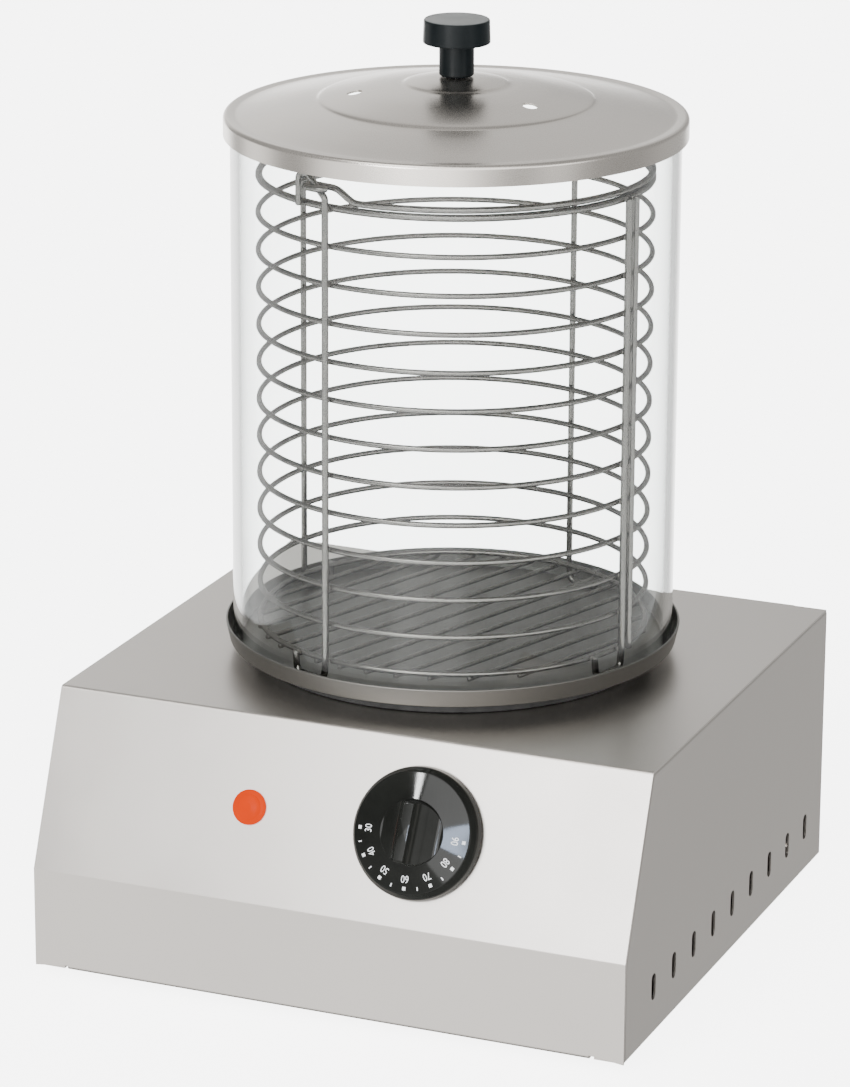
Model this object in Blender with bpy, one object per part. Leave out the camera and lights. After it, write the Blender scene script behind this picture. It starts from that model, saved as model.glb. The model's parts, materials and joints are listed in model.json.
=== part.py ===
"""Counter-top hot-dog steamer: a steel casing with a heated water pan, a glass cylinder, a wire basket and a lid.

Lengths are in millimetres in the constants and in metres in the meshes. The origin is on the surface that the
steamer stands on, under the middle of the casing. +X is the user's right, +Y is the back and +Z is up.
"""

from math import acos, atan2, cos, degrees, hypot, pi, radians, sin, sqrt

import bmesh
import bpy
from mathutils import Matrix, Vector

MM = 0.001
GAP = 0.3                     # clearance between pieces that touch

# casing
BODY_WIDTH = 281.0
BODY_DEPTH = 269.0
CASE_HEIGHT = 123.0
FOOT_HEIGHT = 5.0
LOWER_FRONT_HEIGHT = 46.3
SLOPE_SETBACK = 30.7
SHEET = 1.0
FLANGE = 14.0
BEND_RADIUS = 1.8
BEND_STEPS = 3

# round stack on the casing
STACK_Y = 13.5                # centre of the pan, glass, basket and lid
GLASS_RADIUS = 100.0
GLASS_WALL = 4.0
GLASS_HEIGHT = 239.0
PAN_RIM_RADIUS = 103.5
PAN_RIM_HEIGHT = 15.5         # rim above the casing's top
PAN_DEPTH = 8.5
PAN_BOTTOM_RADIUS = 101.6
TOP_HOLE_RADIUS = 80.0
LID_RADIUS = 103.0
LID_SKIRT = 9.4
LID_SHEET = 0.9
LID_GROOVE = 0.8              # the groove that seats on the glass, below the rim's crest
KNOB_CAP_RADIUS = 15.0
KNOB_STEM_RADIUS = 7.75
KNOB_HEIGHT = 25.3
ROUND_STEPS = 40

# basket
RING_RADIUS = 87.7            # centre line of the wire
RING_COUNT = 13
RING_PITCH = 17.1
WIRE_RADIUS = 1.25
TOP_WIRE_RADIUS = 1.65
BAIL_WIRE_RADIUS = 1.5
BASKET_FLOOR_HEIGHT = 18.0    # lowest ring above the casing's top
ROD_ANGLES = {"front_left": -105.5, "front_right": -13.0, "rear_right": 74.6, "rear_left": 163.3}
SEAM_ROD_ANGLE = -9.4         # second rod beside the front right one, where the ring ends meet
FOOT_SPAN = 11.5              # degrees between a rod and the other leg of its foot
LUG_RISE = 13.6               # top of a hinge lug above the top ring
LUG_SPAN = 15.3               # width of a hinge lug along the ring
GRID_WIRES = 13
GRID_PITCH = 12.9
GRID_DIRECTION = 70.0
GRID_WIRE_RADIUS = 1.1
RING_STEPS = 32
WIRE_SIDES = 5

# controls on the sloped front
DIAL_X = 39.2
CONTROL_HEIGHT = 90.0         # above the surface the steamer stands on
LAMP_X = -41.4
DIAL_BASE_RADIUS = 29.5
DIAL_FACE_RADIUS = 26.2
DIAL_SKIRT = 9.5
HUB_RADIUS = 14.3
HUB_HEIGHT = 19.5             # top of the grip above the sloped panel
LAMP_RADIUS = 7.8

# vents
VENT_COUNT = 9
VENT_PITCH = 25.95
VENT_FIRST_Y = -98.2
VENT_BOTTOM = 21.3
VENT_HEIGHT = 12.2
VENT_WIDTH = 4.6

# rear, base and feet
REAR_SCREW_X = 105.0
REAR_SCREW_DROP = 8.0         # below the casing's top
GLAND_X = -96.0
GLAND_Z = 36.0
GLAND_HOLE = 8.0
GLAND_REACH = 7.2
FOOT_X = 111.0
FOOT_Y = 104.0
FOOT_SCREW_RADIUS = 1.9
BASE_SLOTS = 5
BASE_SLOT_PITCH = 22.0

# heating
HEATER_PLATE_RADIUS = 76.0
HEATER_PLATE_THICK = 4.0
STUD_RADIUS = 3.0
ELEMENT_RADIUS = 56.0
ELEMENT_TUBE = 4.0
ELEMENT_TAIL = 16.0           # how far the terminal ends reach below the ring
ELEMENT_SIDESTEP = 4.5
CLAMP_DROP = 10.0
CLAMP_THICK = 2.0
BULB_RADIUS = 3.0
CAPILLARY_RADIUS = 0.9
THERMOSTAT_SIZE = 44.0
THERMOSTAT_DEPTH = 24.0

# dial grip
SCOOP_RADIUS = 11.5
RIDGE_HALF = 2.0
SCOOP_LIFT = SCOOP_RADIUS + 0.7

# electrical parts
TERMINAL_X = -84.0
TERMINAL_Y = 88.0
TERMINAL_WAYS = 3
TERMINAL_PITCH = 11.0
EARTH_X = -52.0
EARTH_Y = 96.0
WIRE_RADIUS_ELECTRIC = 1.3

# lid
HOLE_RADIUS = 3.4
HOLE_CIRCLE = 45.4
HOLE_ANGLES = (-148.0, -23.0)
LID_RISE = 16.3               # middle of the lid above its rim's crest
LID_DOME = [        # (radius, height above the rim's crest) of the outer face, from the rim to the middle
    (102.3, -0.4), (101.3, 0.0), (98.8, -LID_GROOVE), (90.0, 1.0), (61.6, 6.0), (59.4, 7.3), (45.0, 10.5),
    (24.0, 13.1), (22.4, 14.1), (10.0, 16.0),
]
KNOB_SCREW_RADIUS = 2.0

# basket lugs and bail
HINGE_FROM_ROD = 4.3
LUG_SIDES = {"front_left": -1, "rear_right": 1}
EYE_HALF_LENGTH = 5.25
EYE_HALF_WIDTH = 3.15
BAIL_RADIUS = 87.3
BAIL_REST_DROP = 5.5          # the bail lies this far below its hinges, on the top ring
BAIL_JOG = 12.0               # length along the ring in which it drops there

# derived places
HALF_WIDTH = BODY_WIDTH / 2
HALF_DEPTH = BODY_DEPTH / 2
CASE_TOP = FOOT_HEIGHT + CASE_HEIGHT
SLOPE_START = FOOT_HEIGHT + LOWER_FRONT_HEIGHT
SLOPE_RISE = CASE_HEIGHT - LOWER_FRONT_HEIGHT
SLOPE_LENGTH = hypot(SLOPE_RISE, SLOPE_SETBACK)
SLOPE_OUT = Vector((0, -SLOPE_RISE / SLOPE_LENGTH, SLOPE_SETBACK / SLOPE_LENGTH))
PAN_TOP = CASE_TOP + PAN_RIM_HEIGHT
PAN_UNDER = PAN_TOP - PAN_DEPTH
PAN_FLOOR = PAN_UNDER + SHEET
GLASS_BOTTOM = PAN_FLOOR + GAP
GLASS_TOP = GLASS_BOTTOM + GLASS_HEIGHT
GLASS_INNER = GLASS_RADIUS - GLASS_WALL
LOWEST_RING = CASE_TOP + BASKET_FLOOR_HEIGHT
TOP_RING = LOWEST_RING + RING_PITCH * (RING_COUNT - 1)
TOP_RING_RADIUS = RING_RADIUS + WIRE_RADIUS - TOP_WIRE_RADIUS
ROD_RADIUS = RING_RADIUS + WIRE_RADIUS + GAP + WIRE_RADIUS
FOOT_Z = PAN_FLOOR + GAP + WIRE_RADIUS
HINGE_Z = TOP_RING + 9.0
LID_BOTTOM = GLASS_TOP + 2 * GAP + LID_SHEET + LID_GROOVE - LID_SKIRT
BASE_PLATE_Z = FOOT_HEIGHT + SHEET + GAP
REAR_OUTER = HALF_DEPTH - SHEET - GAP
REAR_SCREW_Z = CASE_TOP - REAR_SCREW_DROP
FOOT_PLACES = {
    "front_left": (-FOOT_X, -FOOT_Y), "front_right": (FOOT_X, -FOOT_Y),
    "rear_left": (-FOOT_X, FOOT_Y), "rear_right": (FOOT_X, FOOT_Y),
}
HEATER_TOP = PAN_UNDER - GAP
HEATER_UNDER = HEATER_TOP - HEATER_PLATE_THICK
ELEMENT_Z = HEATER_UNDER - GAP - ELEMENT_TUBE
CLAMP_END_TOP = CASE_TOP - SHEET - GAP
CLAMP_TOP = CLAMP_END_TOP - CLAMP_DROP
BULB_Y = STACK_Y - 27.0
BULB_Z = HEATER_UNDER - GAP - BULB_RADIUS
BODY_BEHIND = SHEET + GAP
RIM_CREST = LID_BOTTOM + LID_SKIRT
KNOB_BASE = RIM_CREST + LID_RISE + GAP


# ---------------------------------------------------------------- materials

def material(name, colour, roughness, metallic=0.0, transmission=0.0):
    """A Principled material, made once for each name."""
    found = bpy.data.materials.get(name)
    if found:
        return found
    made = bpy.data.materials.new(name)
    made.use_nodes = True
    shader = made.node_tree.nodes["Principled BSDF"]
    shader.inputs["Base Color"].default_value = (*colour, 1)
    shader.inputs["Roughness"].default_value = roughness
    shader.inputs["Metallic"].default_value = metallic
    shader.inputs["Transmission Weight"].default_value = transmission
    return made


def brushed_steel():
    return material("brushed_steel", (0.66, 0.65, 0.63), 0.34, 1.0)


def pressed_steel():
    return material("pressed_steel", (0.60, 0.59, 0.57), 0.30, 1.0)


def wire_steel():
    return material("wire_steel", (0.62, 0.61, 0.59), 0.22, 1.0)


def zinc_steel():
    return material("zinc_steel", (0.55, 0.56, 0.57), 0.40, 1.0)


def black_plastic():
    return material("black_plastic", (0.02, 0.02, 0.022), 0.30)


def black_rubber():
    return material("black_rubber", (0.03, 0.03, 0.03), 0.75)


def clear_glass():
    return material("clear_glass", (0.95, 0.98, 0.97), 0.02, 0.0, 1.0)


def amber_lens():
    return material("amber_lens", (0.95, 0.32, 0.03), 0.25, 0.0, 0.4)


def white_ceramic():
    return material("white_ceramic", (0.85, 0.84, 0.80), 0.45)


def copper():
    return material("copper", (0.80, 0.42, 0.25), 0.35, 1.0)


def insulation(name, colour):
    return material(name, colour, 0.5)


# ---------------------------------------------------------------- building blocks

def finish(name, mesh_data, surface, place=None, parent=None):
    """Turns a bmesh in millimetres into a named object whose origin is at place."""
    place = Vector(place or (0, 0, 0))
    bmesh.ops.recalc_face_normals(mesh_data, faces=mesh_data.faces)
    bmesh.ops.translate(mesh_data, vec=-place, verts=mesh_data.verts)
    bmesh.ops.scale(mesh_data, vec=(MM, MM, MM), verts=mesh_data.verts)
    mesh = bpy.data.meshes.new(name)
    mesh_data.to_mesh(mesh)
    mesh_data.free()
    mesh.shade_smooth()
    mesh.set_sharp_from_angle(angle=radians(35))
    made = bpy.data.objects.new(name, mesh)
    bpy.context.scene.collection.objects.link(made)
    made.data.materials.append(surface)
    made.location = place * MM
    if parent:
        made.parent = parent
        made.location = place * MM - parent.location
    return made


def empty(name, place, parent=None):
    """A joint's reference point."""
    made = bpy.data.objects.new(name, None)
    bpy.context.scene.collection.objects.link(made)
    made.location = Vector(place) * MM - (parent.location if parent else Vector())
    made.parent = parent
    return made


def transformed(mesh_data, matrix):
    bmesh.ops.transform(mesh_data, matrix=matrix, verts=mesh_data.verts)
    return mesh_data


def axis_matrix(origin, along, across=None):
    """Takes local +Z to the direction along, and local +X to across as nearly as it can."""
    z = Vector(along).normalized()
    x = Vector(across) if across else z.orthogonal()
    x = (x - z * x.dot(z)).normalized()
    y = z.cross(x)
    turn = Matrix((x, y, z)).transposed().to_4x4()
    return Matrix.Translation(Vector(origin)) @ turn


def slope_matrix(x, height):
    """The sloped front's frame at this x and height: +X to the right, +Y up the slope, +Z straight out of it."""
    along = (height - SLOPE_START) / SLOPE_RISE
    origin = Vector((x, -HALF_DEPTH + SLOPE_SETBACK * along, height))
    return axis_matrix(origin, SLOPE_OUT, (1, 0, 0))


def turned(profile, steps=ROUND_STEPS, closed=False):
    """Turns (radius, z) points around Z. An open profile starts and ends on the axis; a closed one clears it."""
    made = bmesh.new()
    points = [made.verts.new((r, 0, z)) for r, z in profile]
    edges = [made.edges.new(pair) for pair in zip(points, points[1:])]
    if closed:
        edges.append(made.edges.new((points[-1], points[0])))
    bmesh.ops.spin(made, geom=points + edges, axis=(0, 0, 1), cent=(0, 0, 0), angle=2 * pi,
                   steps=steps, use_merge=True, use_duplicate=False)
    bmesh.ops.remove_doubles(made, verts=made.verts, dist=1e-4)
    return made


def prism(outline, low, high):
    """A straight prism on an (x, y) outline, between two z values."""
    made = bmesh.new()
    face = made.faces.new([made.verts.new((x, y, low)) for x, y in outline])
    top = bmesh.ops.extrude_face_region(made, geom=[face])
    moved = [part for part in top["geom"] if isinstance(part, bmesh.types.BMVert)]
    bmesh.ops.translate(made, vec=(0, 0, high - low), verts=moved)
    return made


def along_x(outline, left, right):
    """A prism on a (y, z) outline, between two x values."""
    turn = Matrix(((0, 0, 1, 0), (1, 0, 0, 0), (0, 1, 0, 0), (0, 0, 0, 1)))
    return transformed(prism(outline, left, right), turn)


def circle(radius, steps, start=0.0, sweep=360.0):
    """Points on a circle or an arc; a full circle leaves out its last point."""
    count = steps if sweep == 360.0 else steps + 1
    angles = [radians(start + sweep * k / steps) for k in range(count)]
    return [(radius * cos(a), radius * sin(a)) for a in angles]


def box(low, high):
    outline = [(low[0], low[1]), (high[0], low[1]), (high[0], high[1]), (low[0], high[1])]
    return prism(outline, low[2], high[2])


def rounded(outline, radius, steps=BEND_STEPS):
    """Replaces the inner corners of an open (a, b) path with arcs."""
    path = [Vector(outline[0])]
    for before, corner, after in zip(outline, outline[1:], outline[2:]):
        corner = Vector(corner)
        back = (Vector(before) - corner).normalized()
        on = (Vector(after) - corner).normalized()
        half = acos(max(-1.0, min(1.0, back.dot(on)))) / 2
        reach = radius / (sin(half) / cos(half))
        centre = corner + (back + on).normalized() * (radius / sin(half))
        first = corner + back * reach - centre
        last = corner + on * reach - centre
        swing = first.angle_signed(last)
        for k in range(steps + 1):
            turn = -swing * k / steps
            path.append(centre + Vector((first.x * cos(turn) - first.y * sin(turn),
                                         first.x * sin(turn) + first.y * cos(turn))))
    path.append(Vector(outline[-1]))
    return [tuple(point) for point in path]


def swept(points, radius, sides=WIRE_SIDES, closed=False):
    """A round wire along 3-D points; radius may be one number or one for each point."""
    points = [Vector(point) for point in points]
    count = len(points)
    radii = radius if isinstance(radius, list) else [radius] * count
    made = bmesh.new()
    rings = []
    normal = None
    for index, point in enumerate(points):
        before = points[index - 1] if closed or index else point
        after = points[(index + 1) % count] if closed or index < count - 1 else point
        arriving = (point - before).normalized() if (point - before).length else Vector()
        leaving = (after - point).normalized() if (after - point).length else Vector()
        tangent = (arriving + leaving).normalized()
        normal = tangent.orthogonal() if normal is None else normal
        normal = (normal - tangent * normal.dot(tangent)).normalized()
        side = tangent.cross(normal)
        rings.append([made.verts.new(point + (normal * cos(a) + side * sin(a)) * radii[index])
                      for a in (2 * pi * (k + 0.5) / sides for k in range(sides))])
    pairs = list(zip(rings, rings[1:])) + ([(rings[-1], rings[0])] if closed else [])
    for first, second in pairs:
        for k in range(sides):
            after = (k + 1) % sides
            made.faces.new((first[k], first[after], second[after], second[k]))
    if not closed:
        made.faces.new(list(reversed(rings[0])))
        made.faces.new(rings[-1])
    return made


def joined(parts):
    """One bmesh holding several separate bodies, for a cutter or an operand."""
    whole = bmesh.new()
    for part in parts:
        mesh = bpy.data.meshes.new("part")
        part.to_mesh(mesh)
        part.free()
        whole.from_mesh(mesh)
        bpy.data.meshes.remove(mesh)
    return whole


def boolean(target, tool_mesh, operation, parent=None):
    """Cuts or joins target with a hidden tool."""
    tool = finish(target.name + "_" + operation.lower(), tool_mesh, target.data.materials[0], None, parent)
    tool.hide_render = True
    tool.display_type = "WIRE"
    change = target.modifiers.new(operation.title(), "BOOLEAN")
    change.operation = operation
    change.object = tool
    return target


def on_circle(radius, angle, z):
    """A point on a circle round the stack's centre."""
    return Vector((radius * cos(radians(angle)), STACK_Y + radius * sin(radians(angle)), z))


def stack_matrix(z=0.0):
    return Matrix.Translation((0, STACK_Y, z))


def screw_mesh(head_radius, head_height, shank_radius, length):
    """A cheese-head screw pointing down -Z, its head standing on z = 0."""
    profile = [(0, head_height), (head_radius * 0.8, head_height), (head_radius, head_height * 0.5),
               (head_radius, 0), (shank_radius, 0), (shank_radius, -length), (0, -length)]
    return turned(profile, 10)


# ---------------------------------------------------------------- casing

def casing_outline(inset):
    """Front, slope and top of the casing seen from the side, moved in by inset, as (y, z) corners."""
    tilt = atan2(SLOPE_SETBACK, SLOPE_RISE)
    front = -HALF_DEPTH + inset
    top = CASE_TOP - inset
    low_corner = SLOPE_START - inset * (1 - cos(tilt)) / sin(tilt)
    high_corner = -HALF_DEPTH + SLOPE_SETBACK + inset * (1 - sin(tilt)) / cos(tilt)
    return [(front, FOOT_HEIGHT), (front, low_corner), (high_corner, top), (HALF_DEPTH, top)]


def strip_surface(path, columns):
    """A bent sheet: the (y, z) path between x values, where columns gives the x limits of each step of the path."""
    made = bmesh.new()
    stations = sorted({x for limits in columns for x in limits})
    grid = {(x, k): made.verts.new((x, *path[k])) for x in stations for k in range(len(path))}
    for k, (left, right) in enumerate(columns):
        for a, b in zip(stations, stations[1:]):
            if a >= left and b <= right:
                made.faces.new((grid[a, k], grid[b, k], grid[b, k + 1], grid[a, k + 1]))
    loose = [vert for vert in made.verts if not vert.link_faces]
    bmesh.ops.delete(made, geom=loose, context="VERTS")
    return made


def thicken(target, thickness):
    """Gives a sheet its thickness, on the side its faces point away from."""
    solid = target.modifiers.new("Sheet", "SOLIDIFY")
    solid.thickness = thickness * MM
    solid.offset = -1
    solid.use_even_offset = True
    return target


def make_casing_wrap():
    front, low, high, back = casing_outline(0)
    foot_flange = (-HALF_DEPTH + FLANGE, FOOT_HEIGHT)
    back_flange = (HALF_DEPTH, CASE_TOP - FLANGE)
    path = rounded([foot_flange, front, low, high, back, back_flange], BEND_RADIUS)
    narrow = HALF_WIDTH - FLANGE - 2
    folded = 1 + BEND_STEPS
    whole = len(path) - 1 - 2 * folded
    columns = [(-narrow, narrow)] * folded + [(-HALF_WIDTH, HALF_WIDTH)] * whole + [(-narrow, narrow)] * folded
    surface = strip_surface(path, columns)
    made = finish("casing_wrap", surface, brushed_steel())
    outward(made)
    thicken(made, SHEET)
    holes = [
        transformed(turned([(0, 10), (TOP_HOLE_RADIUS, 10), (TOP_HOLE_RADIUS, -10), (0, -10)]),
                    stack_matrix(CASE_TOP)),
        transformed(turned([(0, 8), (5.5, 8), (5.5, -8), (0, -8)], 16), slope_matrix(DIAL_X, CONTROL_HEIGHT)),
        transformed(turned([(0, 8), (6.5, 8), (6.5, -8), (0, -8)], 16), slope_matrix(LAMP_X, CONTROL_HEIGHT)),
    ]
    for x in (-1, 1):
        centre = Vector((x * REAR_SCREW_X, HALF_DEPTH, REAR_SCREW_Z))
        holes.append(transformed(turned([(0, 5), (2.3, 5), (2.3, -5), (0, -5)], 12), axis_matrix(centre, (0, 1, 0))))
    return boolean(made, joined(holes), "DIFFERENCE")


def outward(made):
    """Points an open sheet's faces away from the middle of the casing."""
    mesh_data = bmesh.new()
    mesh_data.from_mesh(made.data)
    middle = Vector((0, 0, FOOT_HEIGHT + CASE_HEIGHT / 2)) * MM - made.location
    score = sum(face.calc_area() * face.normal.dot(face.calc_center_median() - middle) for face in mesh_data.faces)
    if score < 0:
        bmesh.ops.reverse_faces(mesh_data, faces=mesh_data.faces)
    mesh_data.to_mesh(made.data)
    mesh_data.free()


def obround(width, height, steps=5):
    """An upright slot's outline around its centre."""
    radius = width / 2
    straight = height / 2 - radius
    top = [(x, y + straight) for x, y in circle(radius, steps, 0, 180)]
    return top + [(x, y - straight) for x, y in circle(radius, steps, 180, 180)]


def make_side_panel(side):
    """A flanged side sheet. side is 1 for the right panel and -1 for the left one."""
    inset = SHEET + GAP
    outline = casing_outline(inset)
    corners = outline[:3] + [(HALF_DEPTH, outline[3][1]), (HALF_DEPTH, FOOT_HEIGHT)]
    face_x = side * HALF_WIDTH
    flange_x = side * (HALF_WIDTH - FLANGE)
    made = bmesh.new()
    outer = [made.verts.new((face_x, y, z)) for y, z in corners]
    inner = [made.verts.new((flange_x, y, z)) for y, z in corners]
    made.faces.new(outer)
    for k in range(len(corners)):
        after = (k + 1) % len(corners)
        made.faces.new((outer[k], inner[k], inner[after], outer[after]))
    name = "side_panel_right" if side > 0 else "side_panel_left"
    panel = finish(name, made, brushed_steel())
    outward(panel)
    thicken(panel, SHEET)
    slots = []
    for k in range(VENT_COUNT):
        centre_y = VENT_FIRST_Y + VENT_PITCH * k
        centre_z = VENT_BOTTOM + VENT_HEIGHT / 2
        outline = [(centre_y + y, centre_z + z) for y, z in obround(VENT_WIDTH, VENT_HEIGHT)]
        slots.append(along_x(outline, face_x - 5, face_x + 5))
    return boolean(panel, joined(slots), "DIFFERENCE")


def make_rear_panel():
    half = HALF_WIDTH - SHEET - GAP
    low = FOOT_HEIGHT + SHEET + GAP
    high = CASE_TOP - 2 * (SHEET + GAP)
    plate = box((-half, REAR_OUTER - SHEET, low), (half, REAR_OUTER, high))
    panel = finish("rear_panel", plate, brushed_steel())
    holes = [transformed(turned([(0, 5), (GLAND_HOLE, 5), (GLAND_HOLE, -5), (0, -5)], 24),
                         axis_matrix((GLAND_X, REAR_OUTER, GLAND_Z), (0, 1, 0)))]
    for side in (-1, 1):
        holes.append(transformed(turned([(0, 5), (2.3, 5), (2.3, -5), (0, -5)], 12),
                                 axis_matrix((side * REAR_SCREW_X, REAR_OUTER, REAR_SCREW_Z), (0, 1, 0))))
    return boolean(panel, joined(holes), "DIFFERENCE")


def make_rear_screw(side, name):
    mesh_data = screw_mesh(3.6, 2.2, 1.9, 9.0)
    place = Vector((side * REAR_SCREW_X, HALF_DEPTH + GAP, REAR_SCREW_Z))
    return finish(name, transformed(mesh_data, axis_matrix(place, (0, 1, 0))), zinc_steel(), place)


def make_base_plate():
    half = HALF_WIDTH - SHEET - GAP
    front = -HALF_DEPTH + 2 * (SHEET + GAP)
    back = REAR_OUTER - 2 * (SHEET + GAP)
    plate = box((-half, front, BASE_PLATE_Z), (half, back, BASE_PLATE_Z + SHEET))
    base = finish("base_plate", plate, zinc_steel())
    cuts = []
    for x, y in FOOT_PLACES.values():
        cuts.append(transformed(turned([(0, 5), (2.3, 5), (2.3, -5), (0, -5)], 12),
                                Matrix.Translation((x, y, BASE_PLATE_Z))))
    for row in (-1, 1):
        for k in range(BASE_SLOTS):
            x = (k - (BASE_SLOTS - 1) / 2) * BASE_SLOT_PITCH
            slot = [(x + a, row * 60 + b) for a, b in obround(5, 40)]
            cuts.append(prism(slot, BASE_PLATE_Z - 5, BASE_PLATE_Z + 5))
    return boolean(base, joined(cuts), "DIFFERENCE")


def make_foot(name, x, y):
    """A turned rubber foot with a counterbored hole for its screw."""
    top = BASE_PLATE_Z - GAP
    profile = [(2.3, top), (10, top), (11, 0), (5, 0), (5, 2.4), (2.3, 2.4)]
    return finish("foot_" + name, transformed(turned(profile, 16, True), Matrix.Translation((x, y, 0))),
                  black_rubber(), (x, y, 0))


def make_foot_screw(name, x, y):
    head = transformed(screw_mesh(4.2, 1.7, FOOT_SCREW_RADIUS, 8.5), Matrix.Rotation(pi, 4, "X"))
    place = Vector((x, y, 2.4 - GAP))
    return finish("foot_screw_" + name, transformed(head, Matrix.Translation(place)), zinc_steel(), place)


# ---------------------------------------------------------------- heated pan


def make_water_pan():
    """A spun dish with a flat floor and a wall that leans out to its rim; its clamping stud is welded under it."""
    under = PAN_UNDER
    tip = CLAMP_TOP - CLAMP_THICK - 9
    profile = [
        (0, tip), (STUD_RADIUS - 0.5, tip), (STUD_RADIUS, tip + 0.5), (STUD_RADIUS, under),
        (PAN_BOTTOM_RADIUS - 2.2, under), (PAN_BOTTOM_RADIUS - 0.7, under + 0.6),
        (PAN_BOTTOM_RADIUS, under + 2.0), (PAN_RIM_RADIUS, PAN_TOP - 0.3), (PAN_RIM_RADIUS - 0.3, PAN_TOP),
        (PAN_RIM_RADIUS - SHEET, PAN_TOP), (PAN_BOTTOM_RADIUS - SHEET, under + 2.2),
        (PAN_BOTTOM_RADIUS - 2.4, under + SHEET), (0, under + SHEET),
    ]
    return finish("water_pan", transformed(turned(profile), stack_matrix()), pressed_steel(), (0, STACK_Y, under))


def make_pan_gasket():
    inner = TOP_HOLE_RADIUS + 4
    outer = inner + 6
    low, high = CASE_TOP + GAP, PAN_UNDER - GAP
    profile = [(inner, low), (inner, high), (outer, high), (outer, low)]
    return finish("pan_gasket", transformed(turned(profile, ROUND_STEPS, True), stack_matrix()), black_rubber(),
                  (0, STACK_Y, low))


def make_heater_plate():
    hole = STUD_RADIUS + GAP
    profile = [(hole, HEATER_UNDER), (hole, HEATER_TOP), (HEATER_PLATE_RADIUS, HEATER_TOP),
               (HEATER_PLATE_RADIUS, HEATER_UNDER)]
    return finish("heater_plate", transformed(turned(profile, 36, True), stack_matrix()),
                  material("cast_aluminium", (0.70, 0.71, 0.72), 0.5, 1.0), (0, STACK_Y, HEATER_UNDER))


def make_heating_element():
    """An open ring of sheathed tube whose two ends turn down to their terminals."""
    ring = [on_circle(ELEMENT_RADIUS, angle, ELEMENT_Z) for angle in range(-75, 256, 15)]
    aside = Vector((ELEMENT_SIDESTEP, 0, 0))
    start = [ring[0] - aside - Vector((0, 0, drop)) for drop in (ELEMENT_TAIL, 7)]
    end = [ring[-1] + aside - Vector((0, 0, drop)) for drop in (7, ELEMENT_TAIL)]
    return finish("heating_element", swept(start + ring + end, ELEMENT_TUBE, 6),
                  material("sheath_steel", (0.35, 0.34, 0.33), 0.45, 1.0), (0, STACK_Y, ELEMENT_Z))


def make_clamp_bar():
    """A hat-shaped bar that bears on the underside of the casing's top and pulls the pan down."""
    ends, top, under = CLAMP_END_TOP, CLAMP_TOP, CLAMP_TOP - CLAMP_THICK
    reach, knee, slant = TOP_HOLE_RADIUS + 12, TOP_HOLE_RADIUS - 6, 8.0
    half = [(reach, ends), (knee, ends), (knee - slant, top)]
    back = [(knee - slant - 1, under), (knee - 1, ends - CLAMP_THICK), (reach, ends - CLAMP_THICK)]
    outline = [(x, z) for x, z in half] + [(-x, z) for x, z in reversed(half)]
    outline += [(-x, z) for x, z in reversed(back)] + [(x, z) for x, z in back]
    bar = prism(outline, -11, 11)
    turn = Matrix(((1, 0, 0, 0), (0, 0, -1, STACK_Y), (0, 1, 0, 0), (0, 0, 0, 1)))
    made = finish("clamp_bar", transformed(bar, turn), zinc_steel(), (0, STACK_Y, top))
    hole = turned([(0, 6), (STUD_RADIUS + GAP, 6), (STUD_RADIUS + GAP, -6), (0, -6)], 16)
    return boolean(made, transformed(hole, stack_matrix(top)), "DIFFERENCE")


def make_clamp_nut():
    high = CLAMP_TOP - CLAMP_THICK - GAP
    hexagon = circle(5.77, 6)
    nut = finish("clamp_nut", transformed(prism(hexagon, high - 5, high), stack_matrix()), zinc_steel(),
                 (0, STACK_Y, high))
    hole = turned([(0, 9), (STUD_RADIUS + GAP, 9), (STUD_RADIUS + GAP, -9), (0, -9)], 16)
    return boolean(nut, transformed(hole, stack_matrix(high)), "DIFFERENCE")


# ---------------------------------------------------------------- controls and wiring


def make_thermostat_body():
    """A square capsule behind the sloped panel, with a round nose that the shaft leaves."""
    half = THERMOSTAT_SIZE / 2
    block = box((-half, -half, -BODY_BEHIND - THERMOSTAT_DEPTH), (half, half, -BODY_BEHIND))
    place = slope_matrix(DIAL_X, CONTROL_HEIGHT)
    body = finish("thermostat_body", transformed(block, place), white_ceramic(), place.translation)
    edges = body.modifiers.new("Edges", "BEVEL")
    edges.width = 1.5 * MM
    edges.segments = 1
    bore = turned([(0, 5), (3.4, 5), (3.4, -14), (0, -14)], 16)
    return boolean(body, transformed(bore, place @ Matrix.Translation((0, 0, -BODY_BEHIND))), "DIFFERENCE")


def make_thermostat_shaft(dial):
    place = slope_matrix(DIAL_X, CONTROL_HEIGHT)
    profile = [(0, 8.6), (2.6, 8.6), (3.0, 8.2), (3.0, -13), (0, -13)]
    return finish("thermostat_shaft", transformed(turned(profile, 16), place), zinc_steel(), place.translation, dial)


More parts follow.
